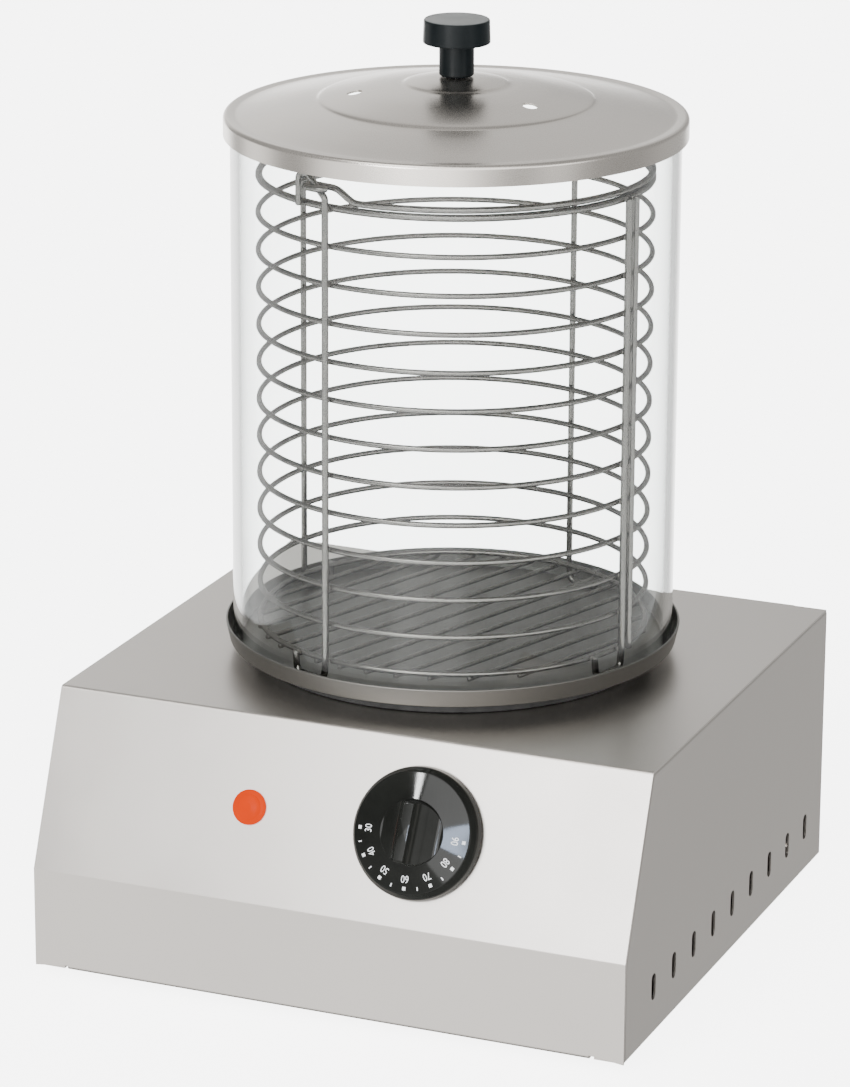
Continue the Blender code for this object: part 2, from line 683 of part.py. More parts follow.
def make_thermostat_dial(dial):
    """A skirted knob: leaning skirt, round hub, and a finger ridge left between two scooped sides."""
    base = 1.4
    face = DIAL_SKIRT
    profile = [
        (3.3, base), (DIAL_BASE_RADIUS - 0.4, base), (DIAL_BASE_RADIUS, base + 0.6),
        (DIAL_BASE_RADIUS - 0.9, face - 3.6), (DIAL_FACE_RADIUS + 1.0, face - 1.0), (DIAL_FACE_RADIUS - 0.6, face),
        (HUB_RADIUS + 0.6, face), (HUB_RADIUS, face + 0.6), (HUB_RADIUS - 1.0, HUB_HEIGHT - 0.8),
        (HUB_RADIUS - 1.9, HUB_HEIGHT), (0, HUB_HEIGHT), (0, 9.2), (3.3, 9.2),
    ]
    place = slope_matrix(DIAL_X, CONTROL_HEIGHT)
    made = finish("thermostat_dial", transformed(turned(profile, 36, True), place), black_plastic(),
                  place.translation, dial)
    scoops = []
    for side in (-1, 1):
        scoop = turned([(0, 16), (SCOOP_RADIUS, 16), (SCOOP_RADIUS, -16), (0, -16)], 28)
        lie = Matrix.Translation((side * (SCOOP_RADIUS + RIDGE_HALF), 0, face + SCOOP_LIFT)) @ Matrix.Rotation(
            pi / 2, 4, "X")
        scoops.append(transformed(scoop, place @ lie))
    return boolean(made, joined(scoops), "DIFFERENCE")


def make_lamp_lens():
    place = slope_matrix(LAMP_X, CONTROL_HEIGHT)
    profile = [(0, 3.6), (3.5, 3.4), (5.6, 2.9), (6.2, 2.2), (LAMP_RADIUS - 0.5, 1.9), (LAMP_RADIUS, 1.4),
               (LAMP_RADIUS, GAP), (0, GAP)]
    return finish("pilot_lamp_lens", transformed(turned(profile, 20), place), amber_lens(), place.translation)


def make_lamp_body():
    place = slope_matrix(LAMP_X, CONTROL_HEIGHT)
    profile = [(0, 0), (6.0, 0), (6.0, -2.5), (8.2, -3.4), (6.2, -6.0), (6.0, -18.0), (4.5, -20.0), (0, -20.0)]
    return finish("pilot_lamp_body", transformed(turned(profile, 16), place), white_ceramic(), place.translation)


def smooth_route(points, count):
    """Evenly spaced points on a Catmull-Rom curve through the given points."""
    points = [Vector(point) for point in points]
    padded = [points[0] * 2 - points[1]] + points + [points[-1] * 2 - points[-2]]
    route = []
    for k in range(count):
        s = k * (len(points) - 1) / (count - 1)
        i = min(int(s), len(points) - 2)
        t = s - i
        a, b, c, d = padded[i:i + 4]
        route.append(0.5 * (2 * b + (c - a) * t + (2 * a - 5 * b + 4 * c - d) * t * t
                            + (3 * b - a - 3 * c + d) * t * t * t))
    return route


def make_thermostat_bulb():
    """The sensing bulb under the heater plate and its capillary tube, one sealed piece."""
    place = slope_matrix(DIAL_X, CONTROL_HEIGHT)
    socket = place @ Vector((0, 0, -BODY_BEHIND - THERMOSTAT_DEPTH - GAP))
    bulb = [Vector((x, BULB_Y, BULB_Z)) for x in (-32, -31, 31, 32)]
    tube = smooth_route([bulb[-1] + Vector((3, 0, 0)), (46, BULB_Y + 2, BULB_Z - 5), (68, BULB_Y - 4, BULB_Z - 16),
                         (72, BULB_Y - 26, BULB_Z - 30), (60, socket.y + 14, socket.z - 2),
                         socket + place.to_3x3() @ Vector((0, 0, -5)), socket], 20)
    radii = [BULB_RADIUS - 0.8, BULB_RADIUS, BULB_RADIUS, BULB_RADIUS - 0.8] + [CAPILLARY_RADIUS] * len(tube)
    return finish("thermostat_bulb", swept(bulb + tube, radii, 6), copper(), bulb[0])


def make_bulb_clip():
    """A bent strap that holds the bulb up against the heater plate."""
    reach = BULB_RADIUS + GAP
    drop = BULB_Z - reach
    outline = [(-12, HEATER_UNDER - GAP), (-reach, HEATER_UNDER - GAP), (-reach, drop), (reach, drop),
               (reach, HEATER_UNDER - GAP), (12, HEATER_UNDER - GAP), (12, HEATER_UNDER - GAP - SHEET),
               (reach + SHEET, HEATER_UNDER - GAP - SHEET), (reach + SHEET, drop - SHEET),
               (-reach - SHEET, drop - SHEET), (-reach - SHEET, HEATER_UNDER - GAP - SHEET),
               (-12, HEATER_UNDER - GAP - SHEET)]
    outline = [(BULB_Y + y, z) for y, z in outline]
    return finish("bulb_clip", along_x(outline, -5, 5), zinc_steel(), (0, BULB_Y, BULB_Z))


def make_thermal_cutout():
    """The over-temperature switch: a disc can with a flange and two blades."""
    high = HEATER_UNDER - GAP
    profile = [(0, high), (8, high), (8, high - 4), (11, high - 4), (11, high - 5), (8, high - 5),
               (8, high - 9), (0, high - 9)]
    place = (0, STACK_Y + 30, high)
    return finish("thermal_cutout", transformed(turned(profile, 20), Matrix.Translation((0, STACK_Y + 30, 0))),
                  white_ceramic(), place)


def make_terminal_block():
    """A row of screw terminals: one moulded block, notched between its ways."""
    low = BASE_PLATE_Z + SHEET + GAP
    outline = [(-10, low), (10, low), (10, low + 8), (5, low + 17), (-5, low + 17), (-10, low + 8)]
    outline = [(TERMINAL_Y + y, z) for y, z in outline]
    half = TERMINAL_WAYS * TERMINAL_PITCH / 2
    block = finish("terminal_block", along_x(outline, TERMINAL_X - half, TERMINAL_X + half), white_ceramic(),
                   (TERMINAL_X, TERMINAL_Y, low))
    notches = []
    for k in range(1, TERMINAL_WAYS):
        x = TERMINAL_X - half + TERMINAL_PITCH * k
        notches.append(box((x - 0.8, TERMINAL_Y - 14, low + 9), (x + 0.8, TERMINAL_Y + 14, low + 22)))
    for k in range(TERMINAL_WAYS):
        x = TERMINAL_X - half + TERMINAL_PITCH * (k + 0.5)
        notches.append(transformed(turned([(0, 25), (2.2, 25), (2.2, 12), (0, 12)], 10),
                                   Matrix.Translation((x, TERMINAL_Y, low))))
    return boolean(block, joined(notches), "DIFFERENCE")


def make_cable_gland():
    """A cord bush through the rear panel: flange and nose outside, thread inside, with a clear bore."""
    outer = REAR_OUTER + GAP
    nose = HALF_DEPTH + GLAND_REACH
    profile = [(4.2, nose), (6.2, nose), (7.6, nose - 1.4), (9.6, outer + 2.5), (10.5, outer + 2.0), (10.5, outer),
               (7.2, outer), (7.2, outer - 16), (4.2, outer - 16)]
    turn = Matrix(((1, 0, 0, GLAND_X), (0, 0, 1, 0), (0, -1, 0, GLAND_Z), (0, 0, 0, 1)))
    return finish("cable_gland", transformed(turned(profile, 18, True), turn), black_plastic(),
                  (GLAND_X, outer, GLAND_Z))


def make_gland_nut():
    high = REAR_OUTER - SHEET - GAP
    low = high - 5
    nut = prism(circle(12, 6), low, high)
    turn = Matrix(((1, 0, 0, GLAND_X), (0, 0, 1, 0), (0, -1, 0, GLAND_Z), (0, 0, 0, 1)))
    made = finish("gland_nut", transformed(nut, turn), black_plastic(), (GLAND_X, high, GLAND_Z))
    hole = turned([(0, high + 9), (7.5, high + 9), (7.5, low - 9), (0, low - 9)], 20)
    return boolean(made, transformed(hole, turn), "DIFFERENCE")


def make_earth_stud():
    low = BASE_PLATE_Z + SHEET + GAP
    profile = [(0, low), (6, low), (6, low + 0.8), (3.9, low + 0.8), (3.9, low + 4), (2, low + 4), (2, low + 10),
               (0, low + 10)]
    return finish("earth_stud", transformed(turned(profile, 12), Matrix.Translation((EARTH_X, EARTH_Y, 0))),
                  material("brass", (0.78, 0.62, 0.30), 0.3, 1.0), (EARTH_X, EARTH_Y, low))


def terminal_entry(way):
    """The front mouth of one way of the terminal block."""
    low = BASE_PLATE_Z + SHEET + GAP
    x = TERMINAL_X + (way - (TERMINAL_WAYS - 1) / 2) * TERMINAL_PITCH
    return Vector((x, TERMINAL_Y - 10 - GAP - 0.2, low + 4))


def make_wires():
    """Internal wires, each along its real route and leaving the pieces it joins straight."""
    thermostat = slope_matrix(DIAL_X, CONTROL_HEIGHT)
    lamp = slope_matrix(LAMP_X, CONTROL_HEIGHT)
    floor = BASE_PLATE_Z + SHEET + 3
    back = -BODY_BEHIND - THERMOSTAT_DEPTH - GAP
    left_tail = on_circle(ELEMENT_RADIUS, 255, ELEMENT_Z - ELEMENT_TAIL - GAP) + Vector((ELEMENT_SIDESTEP, 0, 0))
    right_tail = on_circle(ELEMENT_RADIUS, -75, ELEMENT_Z - ELEMENT_TAIL - GAP) - Vector((ELEMENT_SIDESTEP, 0, 0))
    forward = Vector((0, -1, 0))
    down = Vector((0, 0, -1))
    inward = -SLOPE_OUT
    live = [(-70, 45, floor), (-40, 10, floor), (10, -50, floor), (46, -74, floor + 8)]
    neutral = [(-84, 50, floor), (-80, 15, floor + 4), (-50, -28, floor + 18), (-16, -40, floor + 60)]
    bridge = [(26, -62, floor + 34), (16, -46, floor + 40)]
    signal = [(-96, 40, floor), (-100, -20, floor), (-80, -62, floor + 8), (-52, -84, floor + 34)]
    place_wire("wire_live", (0.32, 0.16, 0.08), terminal_entry(2), forward, live,
               thermostat @ Vector((12, -12, back)), inward)
    place_wire("wire_neutral", (0.05, 0.16, 0.45), terminal_entry(1), forward, neutral, left_tail, down)
    place_wire("wire_element", (0.10, 0.10, 0.10), thermostat @ Vector((-12, -12, back)), inward, bridge,
               right_tail, down)
    place_wire("wire_lamp", (0.55, 0.54, 0.50), terminal_entry(0), forward, signal,
               lamp @ Vector((0, 0, -20 - GAP)), inward)


def place_wire(name, colour, start, leaving, middle, end, arriving):
    """A wire from start to end; leaving and arriving point away from the pieces at its two ends."""
    first = [start + leaving * 3, start + leaving * 9]
    last = [end + arriving * 9, end + arriving * 3]
    bend = smooth_route([*first, *middle, *last], 18)
    route = [start, *bend, end]
    return finish(name, swept(route, WIRE_RADIUS_ELECTRIC, 5), insulation(name, colour), start)


# ---------------------------------------------------------------- glass and lid

def make_glass(parent):
    edge = 0.8
    outer, inner = GLASS_RADIUS, GLASS_INNER
    low, high = GLASS_BOTTOM, GLASS_TOP
    profile = [(inner, low), (outer - edge, low), (outer, low + edge), (outer, high - edge),
               (outer - edge, high), (inner, high)]
    return finish("glass_cylinder", transformed(turned(profile, ROUND_STEPS, True), stack_matrix()), clear_glass(),
                  (0, STACK_Y, low), parent)


def make_lid_shell(parent):
    outer = [(LID_RADIUS, LID_BOTTOM), (LID_RADIUS, RIM_CREST - 1.6)] + [(r, RIM_CREST + h) for r, h in LID_DOME]
    inner = []
    for before, point, after in zip(outer, outer[1:], outer[2:] + [(0, RIM_CREST + LID_RISE)]):
        along = Vector((after[0] - before[0], after[1] - before[1])).normalized()
        inner.append((point[0] - along.y * LID_SHEET, point[1] + along.x * LID_SHEET))
    inner = [(LID_RADIUS - LID_SHEET, LID_BOTTOM)] + inner
    top = RIM_CREST + LID_RISE
    bore = KNOB_SCREW_RADIUS + GAP
    profile = outer + [(bore, top)] + [(bore, top - LID_SHEET)] + list(reversed(inner))
    shell = finish("lid_shell", transformed(turned(profile, ROUND_STEPS, True), stack_matrix()), pressed_steel(),
                   (0, STACK_Y, LID_BOTTOM), parent)
    holes = []
    for angle in HOLE_ANGLES:
        hole = turned([(0, 30), (HOLE_RADIUS, 30), (HOLE_RADIUS, -30), (0, -30)], 16)
        holes.append(transformed(hole, Matrix.Translation(on_circle(HOLE_CIRCLE, angle, RIM_CREST))))
    return boolean(shell, joined(holes), "DIFFERENCE")


def make_lid_knob(parent):
    low = KNOB_BASE
    high = low + KNOB_HEIGHT
    cap = high - 10.7
    bore = KNOB_SCREW_RADIUS + GAP
    profile = [
        (bore, low), (KNOB_STEM_RADIUS - 1.2, low), (KNOB_STEM_RADIUS - 0.2, low + 1.4), (KNOB_STEM_RADIUS, low + 4),
        (KNOB_STEM_RADIUS, cap - 1), (KNOB_STEM_RADIUS + 0.8, cap), (KNOB_CAP_RADIUS - 0.6, cap + 0.6),
        (KNOB_CAP_RADIUS, cap + 1.4), (KNOB_CAP_RADIUS - 0.4, high - 0.8), (KNOB_CAP_RADIUS - 1.2, high), (0, high),
        (0, low + 13), (bore, low + 13),
    ]
    return finish("lid_knob", transformed(turned(profile, 24, True), stack_matrix()), black_plastic(),
                  (0, STACK_Y, low), parent)


def make_knob_screw(parent):
    under = RIM_CREST + LID_RISE - LID_SHEET - GAP
    upright = Matrix.Rotation(pi, 4, "X")
    mesh_data = transformed(screw_mesh(6.0, 2.4, KNOB_SCREW_RADIUS, KNOB_BASE + 12 - under), upright)
    return finish("knob_screw", transformed(mesh_data, stack_matrix(under)), zinc_steel(), (0, STACK_Y, under), parent)


# ---------------------------------------------------------------- basket

def ring_mesh(radius, wire, z, steps=RING_STEPS):
    return swept([on_circle(radius, 360 * k / steps, z) for k in range(steps)], wire, WIRE_SIDES, True)


def make_basket_rings(parent):
    """Twelve level rings; the thirteenth and lowest one carries the floor."""
    for k in range(RING_COUNT - 1):
        z = TOP_RING - RING_PITCH * k
        radius, wire = (TOP_RING_RADIUS, TOP_WIRE_RADIUS) if k == 0 else (RING_RADIUS, WIRE_RADIUS)
        name = f"basket_ring_{k + 1:02d}"
        finish(name, ring_mesh(radius, wire, z), wire_steel(), (0, STACK_Y, z), parent)


def make_basket_floor(parent):
    """The lowest ring with parallel wires welded under it, their ends just past the ring."""
    floor = finish("basket_floor", ring_mesh(RING_RADIUS, WIRE_RADIUS, LOWEST_RING), wire_steel(),
                   (0, STACK_Y, LOWEST_RING), parent)
    along = Vector((cos(radians(GRID_DIRECTION)), sin(radians(GRID_DIRECTION)), 0))
    across = Vector((-along.y, along.x, 0))
    z = LOWEST_RING - WIRE_RADIUS - GRID_WIRE_RADIUS + 0.5
    wires = []
    for k in range(GRID_WIRES):
        offset = (k - (GRID_WIRES - 1) / 2) * GRID_PITCH
        half = sqrt(RING_RADIUS ** 2 - offset ** 2) + 1.6
        middle = Vector((0, STACK_Y, z)) + across * offset
        wires.append(swept([middle - along * half, middle + along * half], GRID_WIRE_RADIUS, 5))
    return boolean(floor, joined(wires), "UNION", parent)


def arc_points(angle, tangential, z):
    """A point on the rods' cylinder, tangential millimetres round it from the given angle."""
    return on_circle(ROD_RADIUS, angle + degrees(tangential / ROD_RADIUS), z)


def foot_path(angle):
    """From the short leg beside the lowest ring, under the basket, to the foot of the rod."""
    span = radians(FOOT_SPAN) * ROD_RADIUS
    bend = 2.6
    short = [(-span, LOWEST_RING + 1.0), (-span, FOOT_Z + bend), (-span + bend * 0.3, FOOT_Z + bend * 0.3),
             (-span + bend, FOOT_Z), (-span / 2, FOOT_Z), (-bend, FOOT_Z), (-bend * 0.3, FOOT_Z + bend * 0.3),
             (0, FOOT_Z + bend)]
    return [arc_points(angle, t, z) for t, z in short]


def lug_path(angle, side):
    """Over a hinge lug: up the rod, along the slanting stretch that carries the bail's eye, and down again."""
    slant = HINGE_FROM_ROD
    high = TOP_RING + LUG_RISE
    far = LUG_SPAN
    steps = [(0, HINGE_Z - slant - 0.6), (0.6, HINGE_Z - slant + 0.6), (slant * 2 - 0.6, HINGE_Z + slant - 0.6),
             (slant * 2 + 1.2, high - 0.1), (far - 3.4, high), (far - 1.0, high - 1.0), (far, high - 3.4),
             (far, TOP_RING - 1.0)]
    return [arc_points(angle, side * t, z) for t, z in steps]


def make_basket_rods(parent):
    """Upright wires outside the rings, each with a U foot; two of them end in the bail's hinge lugs."""
    for name, angle in ROD_ANGLES.items():
        path = foot_path(angle)
        if name in LUG_SIDES:
            path += lug_path(angle, LUG_SIDES[name])
        else:
            path.append(arc_points(angle, 0, TOP_RING + 0.6))
        finish("basket_rod_" + name, swept(path, WIRE_RADIUS), wire_steel(), path[0], parent)
    seam = [arc_points(SEAM_ROD_ANGLE, 0, z) for z in (LOWEST_RING - 1.0, TOP_RING + 0.6)]
    finish("basket_seam_rod", swept(seam, WIRE_RADIUS), wire_steel(), seam[0], parent)


def hinge_points():
    """The two points where the bail's eyes turn on the lugs."""
    return [arc_points(ROD_ANGLES[name], side * HINGE_FROM_ROD, HINGE_Z) for name, side in LUG_SIDES.items()]


def eye_path(end, inward, towards):
    """An almost closed eye around a lug, in the bail's plane, ending on its inner side."""
    straight = EYE_HALF_LENGTH - EYE_HALF_WIDTH
    half = EYE_HALF_WIDTH
    curl = [(-half * sin(radians(a)), straight + half * cos(radians(a))) for a in (0, 30, 60, 90)]
    curl += [(-half * cos(radians(a)), -straight - half * sin(radians(a))) for a in range(0, 181, 30)]
    return [end + inward * u + towards * v for u, v in curl]


def make_bail(bail):
    """The folding handle: a half ring with an eye at each end, lying on the top ring."""
    first, last = hinge_points()
    axis = (last - first).normalized()
    towards = axis.cross(Vector((0, 0, 1)))
    centre = Vector((0, STACK_Y, HINGE_Z))
    arc = []
    start = ROD_ANGLES["front_left"] + degrees(2.2 / ROD_RADIUS)
    end = ROD_ANGLES["rear_right"] - degrees(2.2 / ROD_RADIUS)
    for k in range(29):
        angle = start + (end - start) * k / 28
        share = min(1.0, radians(min(angle - start, end - angle)) * BAIL_RADIUS / BAIL_JOG)
        drop = BAIL_REST_DROP * share * share * (3 - 2 * share)
        arc.append(on_circle(BAIL_RADIUS, angle, HINGE_Z - drop))
    path = eye_path(first, (centre - first).normalized(), tangent(first, towards))
    path += arc + list(reversed(eye_path(last, (centre - last).normalized(), tangent(last, towards))))
    return finish("basket_bail", swept(path, BAIL_WIRE_RADIUS), wire_steel(), first, bail)


def tangent(point, towards):
    """The direction along the ring at this point, on the side that towards gives."""
    outward_line = point - Vector((0, STACK_Y, point.z))
    along = Vector((-outward_line.y, outward_line.x, 0)).normalized()
    return along if along.dot(towards) > 0 else -along


# ---------------------------------------------------------------- assembly

def clear_scene():
    for old in list(bpy.data.objects):
        bpy.data.objects.remove(old, do_unlink=True)


def make_casing():
    make_casing_wrap()
    make_side_panel(-1)
    make_side_panel(1)
    make_rear_panel()
    make_rear_screw(-1, "rear_screw_left")
    make_rear_screw(1, "rear_screw_right")
    make_base_plate()
    for name, (x, y) in FOOT_PLACES.items():
        make_foot(name, x, y)
        make_foot_screw(name, x, y)


def make_heating():
    make_water_pan()
    make_pan_gasket()
    make_heater_plate()
    make_heating_element()
    make_clamp_bar()
    make_clamp_nut()


def make_controls():
    dial = empty("dial_axis", slope_matrix(DIAL_X, CONTROL_HEIGHT).translation)
    make_thermostat_body()
    make_thermostat_shaft(dial)
    make_thermostat_dial(dial)
    make_thermostat_bulb()
    make_bulb_clip()
    make_thermal_cutout()
    make_lamp_lens()
    make_lamp_body()
    make_terminal_block()
    make_cable_gland()
    make_gland_nut()
    make_earth_stud()
    make_wires()


def make_top():
    glass = empty("glass_lift", (0, STACK_Y, GLASS_BOTTOM))
    lid = empty("lid_lift", (0, STACK_Y, LID_BOTTOM), None)
    make_glass(glass)
    make_lid_shell(lid)
    make_lid_knob(lid)
    make_knob_screw(lid)


def make_basket():
    basket = empty("basket_lift", (0, STACK_Y, FOOT_Z))
    make_basket_rings(basket)
    make_basket_floor(basket)
    make_basket_rods(basket)
    bail = empty("bail_hinge", hinge_points()[0])
    make_bail(bail)


clear_scene()
make_casing()
make_heating()
make_controls()
make_top()
make_basket()
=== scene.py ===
"""Looks of a counter-top hot-dog steamer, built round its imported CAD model.

Lengths in the builders are in millimetres, and piece() turns them into metres. Places come from the CAD nodes' boxes.
"""

import json
from math import acos, atan2, cos, degrees, hypot, pi, radians, sin, sqrt

import bmesh
import bpy
from mathutils import Matrix, Vector

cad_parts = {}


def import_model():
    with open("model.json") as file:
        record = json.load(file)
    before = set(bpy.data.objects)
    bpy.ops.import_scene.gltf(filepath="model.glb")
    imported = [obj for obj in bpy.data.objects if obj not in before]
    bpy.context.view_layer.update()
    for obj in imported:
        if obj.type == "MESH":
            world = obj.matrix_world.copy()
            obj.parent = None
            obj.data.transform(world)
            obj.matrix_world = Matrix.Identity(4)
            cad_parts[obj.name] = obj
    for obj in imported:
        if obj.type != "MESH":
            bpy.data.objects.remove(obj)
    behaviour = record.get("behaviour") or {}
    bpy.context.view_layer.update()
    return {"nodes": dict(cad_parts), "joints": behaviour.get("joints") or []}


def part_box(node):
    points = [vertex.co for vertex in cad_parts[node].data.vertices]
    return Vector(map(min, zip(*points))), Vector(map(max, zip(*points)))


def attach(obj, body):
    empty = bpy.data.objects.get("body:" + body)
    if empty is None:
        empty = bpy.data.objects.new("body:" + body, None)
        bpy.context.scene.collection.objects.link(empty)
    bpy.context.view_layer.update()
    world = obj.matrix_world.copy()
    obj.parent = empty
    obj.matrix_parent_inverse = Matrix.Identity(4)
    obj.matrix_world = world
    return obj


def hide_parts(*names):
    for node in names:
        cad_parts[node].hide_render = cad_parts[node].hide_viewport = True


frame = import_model()

MM = 0.001


def corners(node):
    """Lowest and highest corner of a CAD node in millimetres."""
    low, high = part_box(node)
    return low / MM, high / MM


# ---------------------------------------------------------------- measures taken from the frame

WRAP_LOW, WRAP_HIGH = corners("casing_wrap")
GLASS_LOW, GLASS_HIGH = corners("glass_cylinder")
PAN_LOW, PAN_HIGH = corners("water_pan")
LID_LOW, LID_HIGH = corners("lid_shell")
KNOB_LOW, KNOB_HIGH = corners("lid_knob")
RING_LOW, RING_HIGH = corners("basket_ring_01")
SECOND_LOW, SECOND_HIGH = corners("basket_ring_02")
FLOOR_LOW, FLOOR_HIGH = corners("basket_floor")
JOINTS = {joint["name"]: joint for joint in frame["joints"]}

HALF_WIDTH = WRAP_HIGH.x
HALF_DEPTH = WRAP_HIGH.y
CASE_BOTTOM = WRAP_LOW.z
CASE_TOP = WRAP_HIGH.z
CENTRE = Vector((0, (GLASS_LOW.y + GLASS_HIGH.y) / 2, 0))
GLASS_RADIUS = GLASS_HIGH.x
PAN_RADIUS = PAN_HIGH.x
LID_RADIUS = LID_HIGH.x

# casing
LOWER_FRONT_HEIGHT = 46.3
SLOPE_SETBACK = 30.7
SHEET = 1.0
FLANGE = 14.0
SEAM = SHEET + 0.3
SLOPE_START = CASE_BOTTOM + LOWER_FRONT_HEIGHT
SLOPE_RISE = CASE_TOP - SLOPE_START
SLOPE_LENGTH = hypot(SLOPE_RISE, SLOPE_SETBACK)
SLOPE_OUT = Vector((0, -SLOPE_RISE / SLOPE_LENGTH, SLOPE_SETBACK / SLOPE_LENGTH))
DIAL_X = 39.2
LAMP_X = -41.4
CONTROL_HEIGHT = 90.0
VENT_COUNT = 9
VENT_PITCH = 25.95
VENT_FIRST_Y = -98.2
VENT_BOTTOM = 21.3
VENT_HEIGHT = 12.2
VENT_WIDTH = 5.2

# basket
WIRE = 1.25
UPRIGHT_WIRE = 1.45
TOP_WIRE = 1.65
BAIL_WIRE = 1.5
TOP_RING = (RING_LOW.z + RING_HIGH.z) / 2
RING_PITCH = TOP_RING - (SECOND_LOW.z + SECOND_HIGH.z) / 2
RING_COUNT = 13
RING_RADIUS = SECOND_HIGH.x - WIRE
TOP_RING_RADIUS = RING_HIGH.x - TOP_WIRE
LOWEST_RING = TOP_RING - RING_PITCH * (RING_COUNT - 1)
ROD_RADIUS = RING_RADIUS + 2 * WIRE + 0.3
ROD_ANGLES = {"front_left": -105.5, "front_right": -13.0, "rear_right": 74.6, "rear_left": 163.3}
SEAM_ROD_ANGLE = -9.4
FOOT_SPAN = radians(11.5) * ROD_RADIUS
FOOT_Z = PAN_LOW.z  # replaced below by the height of the rods' lowest wire
LUG_SIDES = {"front_left": -1, "rear_right": 1}
HINGE_Z = JOINTS["bail_swing"]["pos_m"][2] / MM
HINGE_FROM_ROD = 4.3
GRID_WIRES = 13
GRID_PITCH = 12.9
GRID_DIRECTION = 70.0
GRID_WIRE = 1.1

FINE = 192          # steps round a large turned piece
FOOT_Z = corners("basket_rod_front_right")[0].z + WIRE


# ---------------------------------------------------------------- materials

def new_material(name):
    made = bpy.data.materials.new(name)
    made.use_nodes = True
    return made, made.node_tree.nodes, made.node_tree.links, made.node_tree.nodes["Principled BSDF"]


def noise(nodes, links, scale, stretch=(1, 1, 1), detail=3.0, roughness=0.5):
    """A noise texture in the piece's own coordinates; scale is in features a metre."""
    place = nodes.new("ShaderNodeTexCoord")
    mapping = nodes.new("ShaderNodeMapping")
    mapping.inputs["Scale"].default_value = stretch
    links.new(place.outputs["Object"], mapping.inputs["Vector"])
    texture = nodes.new("ShaderNodeTexNoise")
    texture.inputs["Scale"].default_value = scale
    texture.inputs["Detail"].default_value = detail
    texture.inputs["Roughness"].default_value = roughness
    links.new(mapping.outputs["Vector"], texture.inputs["Vector"])
    return texture.outputs["Fac"]


def spread(nodes, links, source, low, high, from_low=0.3, from_high=0.7):
    """Maps a texture's middle range to low..high."""
    ranged = nodes.new("ShaderNodeMapRange")
    ranged.inputs["From Min"].default_value = from_low
    ranged.inputs["From Max"].default_value = from_high
    ranged.inputs["To Min"].default_value = low
    ranged.inputs["To Max"].default_value = high
    links.new(source, ranged.inputs["Value"])
    return ranged.outputs["Result"]


def blend_colours(nodes, links, factor, first, second):
    mix = nodes.new("ShaderNodeMix")
    mix.data_type = "RGBA"
    mix.inputs[6].default_value = (*first, 1)
    mix.inputs[7].default_value = (*second, 1)
    links.new(factor, mix.inputs[0])
    return mix.outputs[2]


def bump(nodes, links, shader, height, strength, distance):
    node = nodes.new("ShaderNodeBump")
    node.inputs["Strength"].default_value = strength
    node.inputs["Distance"].default_value = distance
    links.new(height, node.inputs["Height"])
    links.new(node.outputs["Normal"], shader.inputs["Normal"])
    return node


def add(nodes, links, first, second):
    total = nodes.new("ShaderNodeMath")
    total.operation = "ADD"
    links.new(first, total.inputs[0])
    links.new(second, total.inputs[1])
    return total.outputs[0]


def metal(name, colour, roughness, grain_stretch=(1, 1, 1), grain_scale=900.0, grain=0.05, cloud=0.04, tint=0.05,
          bump_strength=0.05, depth=0.0002):
    """Bare metal with a fine grain along one direction and faint cloudy patches."""
    made, nodes, links, shader = new_material(name)
    fine = noise(nodes, links, grain_scale, grain_stretch, 4.0, 0.6)
    clouds = noise(nodes, links, 14.0, (1, 1, 1), 4.0, 0.55)
    darker = tuple(channel * (1 - tint) for channel in colour)
    lighter = tuple(min(1.0, channel * (1 + tint)) for channel in colour)
    mixed = add(nodes, links, spread(nodes, links, fine, -0.25, 0.25), spread(nodes, links, clouds, 0.1, 0.9))
    links.new(blend_colours(nodes, links, mixed, darker, lighter), shader.inputs["Base Color"])
    rough = add(nodes, links, spread(nodes, links, fine, roughness - grain, roughness + grain),
                spread(nodes, links, clouds, -cloud, cloud))
    links.new(rough, shader.inputs["Roughness"])
    shader.inputs["Metallic"].default_value = 1.0
    bump(nodes, links, shader, fine, bump_strength, depth)
    return made


def settled_dust(nodes, links, colours, brightness):
    """Lightens the faces that look straight up: settled dust and wiping marks, together with a painted sheen of the
    light from above.
    """
    geometry = nodes.new("ShaderNodeNewGeometry")
    parts = nodes.new("ShaderNodeSeparateXYZ")
    links.new(geometry.outputs["Normal"], parts.inputs[0])
    mix = nodes.new("ShaderNodeMix")
    mix.data_type = "RGBA"
    mix.inputs[7].default_value = (brightness, brightness * 1.06, brightness * 1.05, 1)
    links.new(spread(nodes, links, parts.outputs["Z"], 0, 1, 0.6, 0.98), mix.inputs[0])
    links.new(colours, mix.inputs[6])
    return mix.outputs[2]


def plastic(name, colour, roughness, grain_scale=1500.0, bump_strength=0.04, coat=0.0, specular=0.5,
            dust=0.0):
    """Moulded plastic: a fine grain, faint handling marks and slightly uneven gloss."""
    made, nodes, links, shader = new_material(name)
    fine = noise(nodes, links, grain_scale, (1, 1, 1), 3.0, 0.6)
    marks = noise(nodes, links, 45.0, (1, 1, 1), 5.0, 0.6)
    darker = tuple(channel * 0.85 for channel in colour)
    lighter = tuple(min(1.0, channel * 1.15 + 0.003) for channel in colour)
    colours = blend_colours(nodes, links, spread(nodes, links, marks, 0, 1), darker, lighter)
    # dust lightens the faces that look up: settled dust together with a painted sheen of light from above
    if dust:
        colours = settled_dust(nodes, links, colours, dust)
    links.new(colours, shader.inputs["Base Color"])
    links.new(spread(nodes, links, marks, roughness * 0.8, roughness * 1.2), shader.inputs["Roughness"])
    shader.inputs["Coat Weight"].default_value = coat
    shader.inputs["Specular IOR Level"].default_value = specular
    shader.inputs["Coat Roughness"].default_value = 0.06
    bump(nodes, links, shader, fine, bump_strength, 0.0002)
    return made


